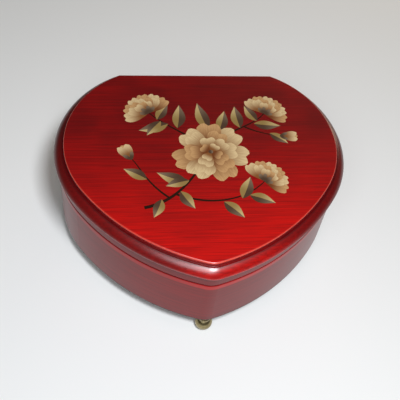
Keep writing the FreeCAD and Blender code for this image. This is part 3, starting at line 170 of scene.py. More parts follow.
def red_lacquer(name, grain, bright, dark, back_shade, gloss, bands):
    """Red-stained veneer under polished lacquer: fine dark streaks, painted shade at the back, a
    soft gloss.

    The streaks are long on the axes where grain has its small scale. back_shade is how far the
    painted shade towards the back deepens, and gloss is the lacquer's IOR. Each band is a range of
    heights with its share at the front point, its share elsewhere and its tint: dark bands are
    painted shade in grooves and along mouldings, and pale bands are partly rubbed wear and partly
    painted light.
    """
    mat = new_material(name)
    place = add_node(mat, "ShaderNodeTexCoord", {})["Object"]
    axes = add_node(mat, "ShaderNodeSeparateXYZ", {"Vector": place})
    drawn = add_node(mat, "ShaderNodeMapping", {"Vector": place, "Scale": grain})["Vector"]
    streaks = add_node(mat, "ShaderNodeTexNoise", {
        "Vector": drawn, "Scale": 1.0, "Detail": 6.0, "Roughness": 0.68, "Distortion": 0.5,
    })["Fac"]
    patches = add_node(mat, "ShaderNodeTexNoise", {
        "Vector": place, "Scale": per(34 * MM), "Detail": 2.0, "Distortion": 0.4,
    })["Fac"]
    waves = add_node(mat, "ShaderNodeTexNoise", {
        "Vector": place, "Scale": per(22 * MM), "Detail": 1.0,
    })["Fac"]
    # Darker tone in random patches, and painted shade deepening towards the back
    back = add_node(mat, "ShaderNodeMapRange", {
        "Value": axes["Y"], "From Min": SHADE_FRONT, "From Max": SHADE_BACK, "To Min": 0.0,
        "To Max": back_shade,
    }, interpolation_type="SMOOTHSTEP")["Result"]
    deep = add_node(mat, "ShaderNodeMath", {
        0: patches, 1: 0.5, 2: back,
    }, operation="MULTIPLY_ADD")["Value"]
    deep = add_node(mat, "ShaderNodeMapRange", {
        "Value": deep, "From Min": 0.2, "From Max": 1.2,
    })["Result"]
    ground = add_node(mat, "ShaderNodeMix", {
        SHARE: deep, UNDER: bright, OVER: dark,
    }, data_type="RGBA")[MIXED]
    # Glaze in the pores
    pores = add_node(mat, "ShaderNodeMapRange", {
        "Value": streaks, "From Min": 0.36, "From Max": 0.62, "To Min": 0.5, "To Max": 0.0,
    })["Result"]
    stain = add_node(mat, "ShaderNodeMix", {
        SHARE: pores, UNDER: ground, OVER: chosen_colours().glaze_and_shade,
    }, data_type="RGBA")[MIXED]
    # Painted bands along mouldings and edges: shade in grooves and along mouldings, light on edges
    lean = add_node(mat, "ShaderNodeMath", {
        0: axes["X"], 1: POINT_LEAN, 2: axes["Y"],
    }, operation="MULTIPLY_ADD")["Value"]
    away = add_node(mat, "ShaderNodeMapRange", {
        "Value": lean, "From Min": POINT_START, "From Max": POINT_END,
    }, interpolation_type="SMOOTHSTEP")["Result"]
    for low, high, at_point, elsewhere, tint in bands:
        middle, reach = (low + high) / 2, (high - low) / 2
        most = add_node(mat, "ShaderNodeMath", {
            0: away, 1: elsewhere - at_point, 2: at_point,
        }, operation="MULTIPLY_ADD")["Value"]
        off = add_node(mat, "ShaderNodeMath", {
            0: axes["Z"], 1: middle,
        }, operation="SUBTRACT")["Value"]
        off = add_node(mat, "ShaderNodeMath", {0: off}, operation="ABSOLUTE")["Value"]
        share = add_node(mat, "ShaderNodeMapRange", {
            "Value": off, "From Min": reach - BAND_SOFTNESS, "From Max": reach + BAND_SOFTNESS,
            "To Min": most, "To Max": 0.0,
        }, interpolation_type="SMOOTHSTEP")["Result"]
        stain = add_node(mat, "ShaderNodeMix", {
            SHARE: share, UNDER: stain, OVER: tint,
        }, data_type="RGBA")[MIXED]
    sheen = add_node(mat, "ShaderNodeMapRange", {
        "Value": streaks, "To Min": 0.6, "To Max": 0.42,
    })["Result"]
    film = add_node(mat, "ShaderNodeBump", {"Height": waves, "Distance": 0.05 * MM})["Normal"]
    add_node(mat, "shader", {
        "Base Color": stain, "Roughness": sheen, "Specular IOR Level": 0.0, "Coat Weight": 1.0,
        "Coat Roughness": 0.3, "Coat IOR": gloss, "Coat Normal": film,
    })
    return mat


def brass(name, fresh, tarnish, share):
    """Turned and rolled brass: a brown film lies in clouds over share of the yellow metal.

    The turning marks are drawn coarser than they are, so that they show.
    """
    mat = new_material(name)
    place = add_node(mat, "ShaderNodeTexCoord", {})["Object"]
    clouds = add_node(mat, "ShaderNodeTexNoise", {
        "Vector": place, "Scale": per(4 * MM), "Detail": 5.0, "Roughness": 0.65,
    })["Fac"]
    drawn = add_node(mat, "ShaderNodeMapping", {
        "Vector": place, "Scale": (per(3 * MM), per(3 * MM), per(0.4 * MM)),
    })["Vector"]
    turned = add_node(mat, "ShaderNodeTexNoise", {
        "Vector": drawn, "Scale": 1.0, "Detail": 2.0,
    })["Fac"]
    film = add_node(mat, "ShaderNodeMapRange", {
        "Value": clouds, "To Min": share - 0.5, "To Max": share + 0.5,
    })["Result"]
    tint = add_node(mat, "ShaderNodeMix", {
        SHARE: film, UNDER: fresh, OVER: tarnish,
    }, data_type="RGBA")[MIXED]
    rough = add_node(mat, "ShaderNodeMapRange", {
        "Value": clouds, "To Min": 0.2, "To Max": 0.45,
    })["Result"]
    marks = add_node(mat, "ShaderNodeBump", {
        "Height": turned, "Distance": 0.02 * MM, "Strength": 0.5,
    })["Normal"]
    add_node(mat, "shader", {
        "Base Color": tint, "Metallic": 1.0, "Roughness": rough, "Normal": marks,
    })
    return mat


def ground_steel(name, tint):
    """Spring steel from the grinder: fine straight marks along the comb and a few greyer clouds.

    The marks are drawn coarser than they are, so that they show.
    """
    mat = new_material(name)
    place = add_node(mat, "ShaderNodeTexCoord", {})["Object"]
    drawn = add_node(mat, "ShaderNodeMapping", {
        "Vector": place, "Scale": (per(6 * MM), per(0.35 * MM), per(0.35 * MM)),
    })["Vector"]
    marks = add_node(mat, "ShaderNodeTexNoise", {
        "Vector": drawn, "Scale": 1.0, "Detail": 3.0,
    })["Fac"]
    clouds = add_node(mat, "ShaderNodeTexNoise", {
        "Vector": place, "Scale": per(8 * MM), "Detail": 3.0,
    })["Fac"]
    shade = add_node(mat, "ShaderNodeMix", {
        SHARE: clouds, UNDER: tint, OVER: linear(STEEL_CLOUD),
    }, data_type="RGBA")[MIXED]
    rough = add_node(mat, "ShaderNodeMapRange", {
        "Value": marks, "To Min": 0.18, "To Max": 0.42,
    })["Result"]
    scratch = add_node(mat, "ShaderNodeBump", {
        "Height": marks, "Distance": 0.01 * MM, "Strength": 0.5,
    })["Normal"]
    add_node(mat, "shader", {
        "Base Color": shade, "Metallic": 1.0, "Roughness": rough, "Normal": scratch,
    })
    return mat


def washed_zinc(name, tint):
    """Die-cast zinc under a thin gold wash: dull clouds and a sandy skin, drawn coarser to show."""
    mat = new_material(name)
    place = add_node(mat, "ShaderNodeTexCoord", {})["Object"]
    skin = add_node(mat, "ShaderNodeTexNoise", {
        "Vector": place, "Scale": per(0.9 * MM), "Detail": 5.0, "Roughness": 0.7,
    })["Fac"]
    clouds = add_node(mat, "ShaderNodeTexNoise", {
        "Vector": place, "Scale": per(14 * MM), "Detail": 2.0,
    })["Fac"]
    wash = add_node(mat, "ShaderNodeMix", {
        SHARE: clouds, UNDER: tint, OVER: linear(ZINC_CLOUD),
    }, data_type="RGBA")[MIXED]
    rough = add_node(mat, "ShaderNodeMapRange", {
        "Value": skin, "To Min": 0.3, "To Max": 0.55,
    })["Result"]
    cast = add_node(mat, "ShaderNodeBump", {
        "Height": skin, "Distance": 0.04 * MM, "Strength": 0.6,
    })["Normal"]
    add_node(mat, "shader", {
        "Base Color": wash, "Metallic": 1.0, "Roughness": rough, "Normal": cast,
    })
    return mat


def cotton_velvet(name, tint, tuft):
    """Cotton velvet: short pile with painted shade between its tufts, brushed lighter and darker in
    patches.
    """
    mat = new_material(name)
    place = add_node(mat, "ShaderNodeTexCoord", {})["Object"]
    tufts = add_node(mat, "ShaderNodeTexNoise", {
        "Vector": place, "Scale": per(tuft), "Detail": 3.0, "Roughness": 0.7,
    })["Fac"]
    brushed = add_node(mat, "ShaderNodeTexNoise", {
        "Vector": place, "Scale": per(16 * MM), "Detail": 3.0, "Distortion": 0.8,
    })["Fac"]
    nap = add_node(mat, "ShaderNodeMapRange", {
        "Value": brushed, "From Min": 0.2, "From Max": 0.8,
    })["Result"]
    lay = add_node(mat, "ShaderNodeMix", {
        SHARE: nap, UNDER: linear(VELVET_LAID), OVER: tint,
    }, data_type="RGBA")[MIXED]
    # Painted shade between the tufts
    gap_shade = add_node(mat, "ShaderNodeMapRange", {
        "Value": tufts, "To Min": 0.8, "To Max": 0.0,
    })["Result"]
    pile = add_node(mat, "ShaderNodeMix", {
        SHARE: gap_shade, UNDER: lay, OVER: linear(VELVET_GAP_SHADE),
    }, data_type="RGBA")[MIXED]
    fuzz = add_node(mat, "ShaderNodeBump", {
        "Height": tufts, "Distance": 0.3 * MM, "Strength": 0.8,
    })["Normal"]
    add_node(mat, "shader", {
        "Base Color": pile, "Roughness": 0.95, "Specular IOR Level": 0.1, "Sheen Weight": 0.6,
        "Sheen Roughness": 0.4, "Sheen Tint": linear(VELVET_SHEEN), "Normal": fuzz,
    })
    return mat


def clear_acrylic(name):
    """Cast acrylic sheet: clear, with faint rubbing marks that dull its gloss."""
    mat = new_material(name)
    place = add_node(mat, "ShaderNodeTexCoord", {})["Object"]
    rubbed = add_node(mat, "ShaderNodeTexNoise", {
        "Vector": place, "Scale": per(5 * MM), "Detail": 4.0, "Distortion": 0.6,
    })["Fac"]
    haze = add_node(mat, "ShaderNodeMapRange", {
        "Value": rubbed, "To Min": 0.01, "To Max": 0.09,
    })["Result"]
    # The low alpha lets light through to the movement
    add_node(mat, "shader", {
        "Base Color": linear(ACRYLIC), "Roughness": haze, "IOR": 1.49, "Transmission Weight": 1.0,
        "Alpha": 0.35,
    })
    return mat


def cut_veneer(name, tint, shade):
    """Sawn veneer under the lid's lacquer: grain along the piece, browned by hot sand at its base.

    The grain is drawn coarser than it is, so that it shows.
    """
    mat = new_material(name)
    along = add_node(mat, "ShaderNodeUVMap", {}, uv_map="piece")["UV"]
    share = add_node(mat, "ShaderNodeSeparateXYZ", {"Vector": along})["X"]
    drawn = add_node(mat, "ShaderNodeMapping", {
        "Vector": along, "Scale": (PIECE_LENGTH * per(5 * MM), PIECE_LENGTH * per(0.5 * MM), 1.0),
    })["Vector"]
    grain = add_node(mat, "ShaderNodeTexNoise", {
        "Vector": drawn, "Scale": 1.0, "Detail": 4.0, "Roughness": 0.65,
    })["Fac"]
    figure = add_node(mat, "ShaderNodeMapRange", {
        "Value": grain, "To Min": -0.2, "To Max": 0.75,
    })["Result"]
    sanded = add_node(mat, "ShaderNodeMapRange", {
        "Value": share, "From Min": 0.3, "From Max": 1.0, "To Min": 1.0, "To Max": 0.0,
    }, interpolation_type="SMOOTHSTEP")["Result"]
    wood = add_node(mat, "ShaderNodeMix", {
        SHARE: figure, UNDER: tint, OVER: shade,
    }, data_type="RGBA")[MIXED]
    browned = add_node(mat, "ShaderNodeMix", {
        SHARE: sanded, UNDER: wood, OVER: shade,
    }, data_type="RGBA")[MIXED]
    add_node(mat, "shader", {
        "Base Color": browned, "Roughness": 0.5, "Specular IOR Level": 0.1, "Coat Weight": 1.0,
        "Coat Roughness": 0.07, "Coat IOR": 1.45,
    })
    return mat


def paint(names, mat):
    """Give CAD nodes one material."""
    for name in names:
        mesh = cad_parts[name].data
        mesh.materials.clear()
        mesh.materials.append(mat)


def new_object(name, data):
    piece = bpy.data.objects.new(name, data)
    bpy.context.scene.collection.objects.link(piece)
    return piece


# Lamps of the studio: name, place and aim in metres, width and height, power in watts, colour
LAMPS = (
    ("key_screen", (0.04, -0.27, 0.57), (0, 0, 0.03), (0.10, 0.10), 3.1, "#f6faff"),
    ("front_window", (-0.12, -0.44, 0.60), (0, 0, 0.03), (0.40, 0.32), 1.6, "#f6faff"),
    ("back_screen", (0.34, 0.52, 0.18), (0, 0, 0.03), (0.50, 0.24), 0.85, "#ffecd2"),
)
SKY_TINT, SKY_STRENGTH = "#f0dcc0", 0.06
FLOOR_TINT, FLOOR_REACH = "#eeeeec", 2.5

# Camera: place in metres, angles in degrees, lens and sensor in mm
CAMERA_PLACE = (-0.04812, -0.24097, 0.37194)
CAMERA_RISE, CAMERA_TURN, CAMERA_ROLL = 54.27, 11.49, 8.56
CAMERA_LENS, CAMERA_SENSOR = 65.99, 36


class MUSICBOX_OT_stage(bpy.types.Operator):
    """Set the floor, the lamps, the sky and the camera"""

    bl_idname = "musicbox.stage"
    bl_label = "Stage"

    def execute(self, context):
        scene = context.scene
        bm = bmesh.new()
        bmesh.ops.create_grid(bm, x_segments=1, y_segments=1, size=FLOOR_REACH)
        mesh = bpy.data.meshes.new("floor")
        bm.to_mesh(mesh)
        bm.free()
        floor = new_object("floor", mesh)
        # Plain off-white cloth: pale and dull
        cloth = new_material("off_white_cloth")
        add_node(cloth, "shader", {
            "Base Color": linear(FLOOR_TINT), "Roughness": 0.9, "Specular IOR Level": 0.1,
        })
        floor.data.materials.append(cloth)
        for name, spot, target, (width, height), power, tint in LAMPS:
            data = bpy.data.lights.new(name, "AREA")
            data.shape = "RECTANGLE"
            data.size = width
            data.size_y = height
            data.energy = power
            data.color = linear(tint)[:3]
            lamp = new_object(name, data)
            lamp.location = spot
            ray = Vector(target) - lamp.location
            lamp.rotation_euler = ray.to_track_quat("-Z", "Y").to_euler()
        sky = bpy.data.worlds.new("room")
        sky.use_nodes = True
        back = sky.node_tree.nodes["Background"]
        back.inputs["Color"].default_value = linear(SKY_TINT)
        back.inputs["Strength"].default_value = SKY_STRENGTH
        scene.world = sky
        data = bpy.data.cameras.new("camera")
        data.sensor_width = CAMERA_SENSOR
        data.lens = CAMERA_LENS
        camera = new_object("camera", data)
        pose = Matrix.Rotation(-math.radians(CAMERA_TURN), 4, "Z")
        pose @= Matrix.Rotation(math.pi / 2 - math.radians(CAMERA_RISE), 4, "X")
        pose @= Matrix.Rotation(math.radians(CAMERA_ROLL), 4, "Z")
        pose.translation = Vector(CAMERA_PLACE)
        camera.matrix_world = pose
        scene.camera = camera
        scene.view_settings.view_transform = "Standard"
        return {"FINISHED"}


# Arcs of the lid's right half from its point to its back corner: centre in mm, turn in degrees
OUTLINE = (((0, -54.75), 16.09), ((-29.1, 46.1), 39.99), ((19, 13.75), 98.28))
SPIN_STEP, FEWEST_STEPS = 1.6, 8
WELD = 0.01 * MM
SHARP_ANGLE = 40

# Moulded edge of the lid, as inset from its outline and height over its underside in mm. It has
# an undercut below a nose, and over it a thumb moulding (an arc that starts at a lean and goes
# through a turn, in degrees), a quirk, a step and an arris with a flat behind it
NOSE_HEIGHT = 2.1
UNDERCUT = ((0.1, 1.6), (0.5, 1.1), (1.2, 0.7), (1.98, 0.45), (2.0, 0.0))
THUMB_RADIUS, THUMB_LEAN, THUMB_TURN, THUMB_STEPS = 7.7, 25, 45, 12
QUIRK_WIDTH, QUIRK_DEPTH = 0.7, 0.2
STEP_INSET, STEP_FOOT = 5.3, 8.2
ARRIS_RADIUS, ARRIS_STEPS, ARRIS_FLAT = 0.8, 5, 1.2
# Least distance between two loops of the edge in mm
NUDGE = 0.02

# Painted bands: lowest and highest place over a level in mm, share at the front point, share
# elsewhere, colour. The lid's are over its top, the wall's over its foot and over its parting line
LID_BANDS = (
    # Painted shade on the moulding, deepest away from the front point, and in the step under the
    # arris
    (-9.0, -2.8, 0.1, 0.7, "glaze_and_shade"),
    (-3.2, -0.8, 0.5, 0.5, "glaze_and_shade"),
    # Rubbed wear and a painted highlight on the arris
    (-0.6, -0.12, 0.85, 0.5, "rubbed_edge_and_highlight"),
)
# Painted shade along the foot of the wall
FOOT_BANDS = ((-0.2, 1.5, 0.95, 0.95, "glaze_and_shade"),)
# A dark band of painted shade along the parting line, and a band of the lid's brighter lacquer
# below it as painted light on the wall's top
PARTING_BANDS = ((0.0, 0.6, 0.2, 0.6, "glaze_and_shade"), (-4.2, -1.0, 0.7, 0.4, "lacquer"))


def moulded_edge():
    """Insets and heights of the lid's edge from its nose to its flat top."""
    points = []
    start = math.radians(THUMB_LEAN)
    for n in range(1, THUMB_STEPS + 1):
        lean = start + math.radians(THUMB_TURN) * n / THUMB_STEPS
        points.append((
            THUMB_RADIUS * (math.cos(start) - math.cos(lean)),
            NOSE_HEIGHT + THUMB_RADIUS * (math.sin(lean) - math.sin(start)),
        ))
    quirk = points[-1][1] - QUIRK_DEPTH
    points += [
        (STEP_INSET - QUIRK_WIDTH, quirk),
        (STEP_INSET - NUDGE, quirk),
        (STEP_INSET, STEP_FOOT),
    ]
    for n in range(1, ARRIS_STEPS + 1):
        lean = math.pi / 2 * n / ARRIS_STEPS
        points.append((
            STEP_INSET + ARRIS_RADIUS * (1 - math.cos(lean)),
            STEP_FOOT + ARRIS_RADIUS * math.sin(lean),
        ))
    return points + [(STEP_INSET + ARRIS_FLAT, STEP_FOOT + ARRIS_RADIUS)]


def draw_in(bm, face, points, start):
    """Step a face inwards and up or down through insets and heights in mm, with a band at each."""
    inset, height = start
    for next_inset, next_height in points:
        bmesh.ops.inset_region(
            bm, faces=[face], thickness=(next_inset - inset) * MM, use_even_offset=True,
            use_boundary=True,
        )
        bmesh.ops.translate(bm, verts=face.verts, vec=(0, 0, (next_height - height) * MM))
        inset, height = next_inset, next_height


def moulded_panel(underside):
    """The lid's board, spun round its outline's centres and drawn in along its moulded edge."""
    bm = bmesh.new()
    level = underside + NOSE_HEIGHT * MM
    last = bm.verts.new((0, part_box("lid_panel")[0][1], level))
    for (x, y), turn in OUTLINE:
        made = bmesh.ops.spin(
            bm, geom=[last], cent=(x * MM, y * MM, level), axis=(0, 0, 1),
            angle=math.radians(turn), steps=max(FEWEST_STEPS, round(turn / SPIN_STEP)),
        )
        last = next(v for v in made["geom_last"] if isinstance(v, bmesh.types.BMVert))
    bmesh.ops.mirror(bm, geom=bm.verts[:] + bm.edges[:], axis="X", merge_dist=WELD)
    bmesh.ops.remove_doubles(bm, verts=bm.verts, dist=WELD)
    corners = [v for v in bm.verts if len(v.link_edges) == 1]
    if len(corners) != 2:
        raise RuntimeError("The lid's outline should be open between its two back corners only")
    bm.edges.new(corners)
    top = bmesh.ops.contextual_create(bm, geom=bm.edges[:])["faces"][0]
    low = next(
        f for f in bmesh.ops.extrude_face_region(bm, geom=[top], use_keep_orig=True)["geom"]
        if isinstance(f, bmesh.types.BMFace) and len(f.verts) == len(top.verts)
    )
    bmesh.ops.translate(bm, verts=low.verts, vec=(0, 0, -NUDGE * MM))
    draw_in(bm, top, moulded_edge(), (0, NOSE_HEIGHT))
    draw_in(bm, low, UNDERCUT, (0, NOSE_HEIGHT - NUDGE))
    bmesh.ops.recalc_face_normals(bm, faces=bm.faces)
    for face in bm.faces:
        face.smooth = len(face.verts) == 4
    mesh = bpy.data.meshes.new("moulded_lid_panel")
    bm.to_mesh(mesh)
    bm.free()
    mesh.set_sharp_from_angle(angle=math.radians(SHARP_ANGLE))
    return mesh


def bands_over(level, rows):
    """Bands of red lacquer from rows of a table, with their heights over a level."""
    return [
        (level + low * MM, level + high * MM, at_point, elsewhere, getattr(chosen_colours(), tint))
        for low, high, at_point, elsewhere, tint in rows
    ]


class MUSICBOX_OT_lacquer(bpy.types.Operator):
    """Finish the wooden case and lid in red lacquer"""

    bl_idname = "musicbox.lacquer"
    bl_label = "Lacquered wood"

    def execute(self, context):
        sizes, colours = chosen_sizes(), chosen_colours()
        fine, run = per(sizes.grain_width), per(sizes.grain_length)
        underside, top = (corner[2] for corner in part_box("lid_panel"))
        lid = red_lacquer(
            "red_lacquered_lid", (run, fine, fine), colours.lacquer, colours.dark_lacquer_and_shade,
            back_shade=0.82, gloss=1.75, bands=bands_over(top, LID_BANDS),
        )
        paint(("lid_panel",), lid)
        panel = new_object("moulded_lid_panel", moulded_panel(underside))
        panel.data.materials.append(lid)
        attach(panel, "lid")
        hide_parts("lid_panel")
        foot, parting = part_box("case_wall")[0][2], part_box("lid_rim")[0][2]
        # The wall's darker colour is painted shade on its upright faces
        wall = red_lacquer(
            "red_lacquered_wall", (run, run, fine), colours.wall, colours.dark_lacquer_and_shade,
            back_shade=0.2, gloss=1.4,
            bands=bands_over(foot, FOOT_BANDS) + bands_over(parting, PARTING_BANDS),
        )
        paint(("case_wall", "lid_rim", "base_panel", "bay_front", "bay_left", "bay_right"), wall)
        return {"FINISHED"}


# Veneers by material number
CREAM, PEACH, OLIVE, UMBER, EDGE = range(5)

# The second tone of each veneer, in the same order
VENEER_SHADES = ("#7d4d27", "#6b3a1c", "#8a7040", "#4a3628", "#1f0d07")

# Corners of a petal and of half a leaf, and parts of a twig
PETAL_CORNERS, LEAF_CORNERS, TWIG_PARTS = 28, 24, 20
# How round a petal's tip is, the width of its notch, and the depth and number of its frills
TIP_ROUND, NOTCH_WIDTH, FRILL_DEPTH, FRILLS = 0.5, 0.16, 0.02, 7
# How near its base a leaf is widest, and how sharp its ends are
LEAF_BELLY, LEAF_POINT = 0.8, 1.1
# Width of a twig's butt and what it loses to its tip, as shares of its width
TWIG_BUTT, TWIG_TAPER = 1.15, 0.7
# The lowest layer of the inlay clears the lid by this many steps
LOWEST_LAYER = 20
# Shift of the grain from one piece to the next, and across a mm of twig
PIECE_SHIFT, TWIG_SHIFT = 0.37, 0.05

# The spray, in mm and degrees. Twigs: four points of a path, width
TWIGS = (
    (((-33, -30), (-14, -26), (-5, -8), (4, 6)), 1.7),
    (((-16, -22), (2, -30), (20, -26), (31, -14)), 1.2),
    (((4, 6), (14, 24), (28, 22), (37, 34)), 1.2),
    (((4, 6), (-8, 20), (-20, 24), (-29, 35)), 1.2),
    (((-20, -24), (-32, -14), (-34, -4), (-39, 2)), 1.0),
    (((24, 24), (30, 20), (38, 18), (44, 17)), 0.9),
)
# Leaves: base, turn, length, width, bend as a share of the length
LEAVES = (
    ((-24, -25), -112, 12, 6.0, 0.12), ((-14, -20), -58, 13, 6.4, -0.1),
    ((-31, -12), 150, 14, 6.4, -0.12), ((-10, -14), 158, 17, 7.4, 0.14),
    ((-9, -13), 196, 13, 6.0, -0.1), ((8, -27), -46, 14, 6.6, 0.1),
    ((18, -25), 68, 15, 7.0, -0.12), ((22, -23), -22, 14, 6.4, 0.1),
    ((22, 23), 96, 16, 7.0, 0.12), ((30, 26), -6, 15, 6.6, -0.1),
    ((32, 28), 118, 13, 6.0, 0.1), ((-13, 23), 84, 17, 7.4, -0.12),
    ((-18, 26), 196, 17, 7.4, 0.12), ((-24, 29), 60, 13, 6.0, 0.1),
    ((-22, 28), 232, 13, 6.0, -0.12), ((4, 22), 104, 20, 7.6, 0.12),
    ((10, 21), 74, 15, 6.6, -0.1), ((38, 19), -38, 12, 5.4, 0.1),
)
# Buds and blossoms: base, size, turn
BUDS = (((-38.5, 1), 11, 118), ((43.5, 17), 10, -2))
SIDE_BLOSSOMS = (((-28, 34), 15, 122), ((36.5, 33.5), 14, 56), ((30.5, -14), 14, 48))
OPEN_BLOSSOMS = (((4, 6), 21, 12),)

# Rings of an open blossom: petals, then their length and width as shares of its size
BLOSSOM_RINGS = ((7, 1.0, 0.66), (6, 0.76, 0.54), (5, 0.53, 0.42), (4, 0.31, 0.28))
# Fans of a blossom from beside: petals, spread in degrees, then length and width as above
BLOSSOM_FANS = ((6, 150, 1.0, 0.5), (5, 104, 0.82, 0.42), (3, 50, 0.62, 0.36))
# How an open blossom's petals stray: pace from petal to petal, turn in degrees, share of length
STRAY_PACE, STRAY_TURN, STRAY_LENGTH = 2.4, 6, 0.06
# The eye of an open blossom, as a share of its size
EYE_SIZE = 0.12


def outline(bm, count, form):
    """Flat face from a circle of count corners, each moved to form(share round the circle)."""
    ring = bmesh.ops.create_circle(bm, cap_ends=True, segments=count, radius=1.0)["verts"]
    for n, vert in enumerate(ring):
        vert.co = form(n / count)
    return ring


def petal_form(long, wide, fullness, notch):
    """Outline of a petal from its base along +X; fullness moves its widest place to the tip."""
    peak = fullness / (fullness + TIP_ROUND)
    full = peak ** fullness * (1 - peak) ** TIP_ROUND

    def form(share):
        angle = 2 * math.pi * share
        s = (1 - math.cos(angle)) / 2
        half = wide / 2 * s ** fullness * (1 - s) ** TIP_ROUND / full
        y = math.copysign(half, math.sin(angle))
        # The notch and the frills fade out towards the base
        dip = notch * math.exp(-(y / (NOTCH_WIDTH * wide)) ** 2) * s ** 6
        frill = FRILL_DEPTH * math.sin(FRILLS * angle) * s ** 3
        return Vector((long * (s - dip + frill), y, 0))

    return form


def half_leaf_form(long, wide, side, bend):
    """One half of a pointed leaf beside its midrib, side +1 or -1."""

    def form(share):
        angle = 2 * math.pi * share
        s = (1 - math.cos(angle)) / 2
        half = 0
        if math.sin(angle) > 1e-6:
            half = wide / 2 * math.sin(math.pi * s ** LEAF_BELLY) ** LEAF_POINT
        return Vector((long * s, side * half + bend * long * s * (1 - s), 0))

    return form


class Inlay:
    """Pieces of veneer laid on the lid, each a little above the one before it."""

    def __init__(self, top):
        self.bm = bmesh.new()
        self.uv = self.bm.loops.layers.uv.new("piece")
        self.top = top
        self.layer = LOWEST_LAYER

    def level(self):
        return self.top + self.layer * chosen_sizes().inlay_rise

    def face_up(self, faces):
        for f in faces:
            f.normal_update()
            if f.normal.z < 0:
                f.normal_flip()

    def lay(self, count, form, at, turn, tint):
        """Cut one piece, lay it at a point in mm, turned in degrees, in veneer number tint."""
        ring = outline(self.bm, count, form)
        face = next(f for f in ring[0].link_faces if len(f.verts) == count)
        reach = max(v.co.x for v in ring) or 1
        rim = bmesh.ops.inset_region(
            self.bm, faces=[face], thickness=chosen_sizes().scorch / MM, use_even_offset=True,
        )["faces"]
        bmesh.ops.triangulate(self.bm, faces=[face])
        verts = set(ring)
        for f in rim:
            f.material_index = EDGE
            verts.update(f.verts)
        faces = {f for v in verts for f in v.link_faces}
        spin = Matrix.Rotation(math.radians(turn), 4, "Z")
        self.layer += 1
        for f in faces:
            if f not in rim:
                f.material_index = tint
            for loop in f.loops:
                spot = loop.vert.co
                loop[self.uv].uv = (spot.x / reach, spot.y / reach + self.layer * PIECE_SHIFT)
        base = Vector((at[0], at[1], 0))
        for v in verts:
            v.co = (spin @ v.co + base) * MM
            v.co.z = self.level()
        self.face_up(faces)

    def petal(self, at, turn, long, wide, tint, fullness, notch=0.0):
        self.lay(PETAL_CORNERS, petal_form(long, wide, fullness, notch), at, turn, tint)

    def leaf(self, at, turn, long, wide, bend):
        self.lay(LEAF_CORNERS, half_leaf_form(long, wide, 1, bend), at, turn, OLIVE)
        self.lay(LEAF_CORNERS, half_leaf_form(long, wide, -1, bend), at, turn, UMBER)

    def twig(self, points, wide):
        """A tapering twig along a smooth path through four points in mm."""
        self.layer += 1
        grid = bmesh.ops.create_grid(
            self.bm, x_segments=TWIG_PARTS, y_segments=1, size=0.5,
        )["verts"]
        a, b, c, d = (Vector(p) for p in points)
        for v in grid:
            t = v.co.x + 0.5
            u = 1 - t
            at = a * u ** 3 + b * 3 * u * u * t + c * 3 * u * t * t + d * t ** 3
            run = (b - a) * u * u + (c - b) * 2 * u * t + (d - c) * t * t
            side = Vector((-run.y, run.x)).normalized()
            spot = at + side * (v.co.y * wide * (TWIG_BUTT - TWIG_TAPER * t))
            v.co = Vector((spot.x * MM, spot.y * MM, self.level()))
        faces = {f for v in grid for f in v.link_faces}
        for f in faces:
            f.material_index = EDGE
            for loop in f.loops:
                loop[self.uv].uv = (0.5, loop.vert.co.y / MM * TWIG_SHIFT)
        self.face_up(faces)


def open_blossom(inlay, at, size, turn):
    """A full blossom: rings of petals, each smaller and turned between those of the ring below."""
    for count, reach, broad in BLOSSOM_RINGS:
        turn += 180 / count
        for n in range(count):
            tint = CREAM if (n + count) % 2 else PEACH
            # No two petals lie quite alike
            stray = math.sin(STRAY_PACE * n + count)
            lean = turn + 360 * n / count + STRAY_TURN * stray
            long = size * reach * (1 + STRAY_LENGTH * stray)
            inlay.petal(at, lean, long, size * broad, tint, fullness=1.2, notch=0.12)
    eye = EYE_SIZE * size
    inlay.petal((at[0] - eye / 2, at[1]), 0, eye, eye, UMBER, fullness=0.5)


def side_blossom(inlay, at, size, turn):
    """A blossom seen from beside: fans of petals over a cup of small leaves."""
    for count, spread, reach, broad in BLOSSOM_FANS:
        for n in range(count):
            tint = CREAM if (n + count) % 2 else PEACH
            lean = turn + spread * (n / (count - 1) - 0.5)
            inlay.petal(at, lean, size * reach, size * broad, tint, fullness=1.1, notch=0.1)
    for angle in (-62, 62, -24, 24):
        inlay.petal(at, turn + angle, size * 0.36, size * 0.17, UMBER, fullness=0.7)


def bud(inlay, at, size, turn):
    """A closed bud: two petals folded over a third, held by two small leaves."""
    for angle, tint in ((0, PEACH), (-13, CREAM), (13, CREAM)):
        inlay.petal(at, turn + angle, size, size * 0.42, tint, fullness=0.8)
    for angle in (-28, 28):
        inlay.petal(at, turn + angle, size * 0.5, size * 0.2, UMBER, fullness=0.7)


class MUSICBOX_OT_inlay(bpy.types.Operator):
    """Lay the spray of blossoms into the lid"""

    bl_idname = "musicbox.inlay"
    bl_label = "Inlaid spray"

    def execute(self, context):
        inlay = Inlay(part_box("lid_panel")[1][2])
        for points, wide in TWIGS:
            inlay.twig(points, wide)
        for at, turn, long, wide, bend in LEAVES:
            inlay.leaf(at, turn, long, wide, bend)
        for make, rows in (
            (bud, BUDS), (side_blossom, SIDE_BLOSSOMS), (open_blossom, OPEN_BLOSSOMS),
        ):
            for at, size, turn in rows:
                make(inlay, at, size, turn)
        mesh = bpy.data.meshes.new("inlaid_spray")
        inlay.bm.to_mesh(mesh)
        inlay.bm.free()
        colours = chosen_colours()
        for (name, tint), shade in zip((
            ("maple_veneer", colours.cream),
            ("pear_veneer", colours.peach),
            ("olive_veneer", colours.olive),
            ("walnut_veneer", colours.umber),
            ("scorched_veneer", colours.twig),
        ), VENEER_SHADES):
            mesh.materials.append(cut_veneer(name, tint, linear(shade)))
        piece = new_object("inlaid_spray", mesh)
        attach(piece, "lid")
        return {"FINISHED"}


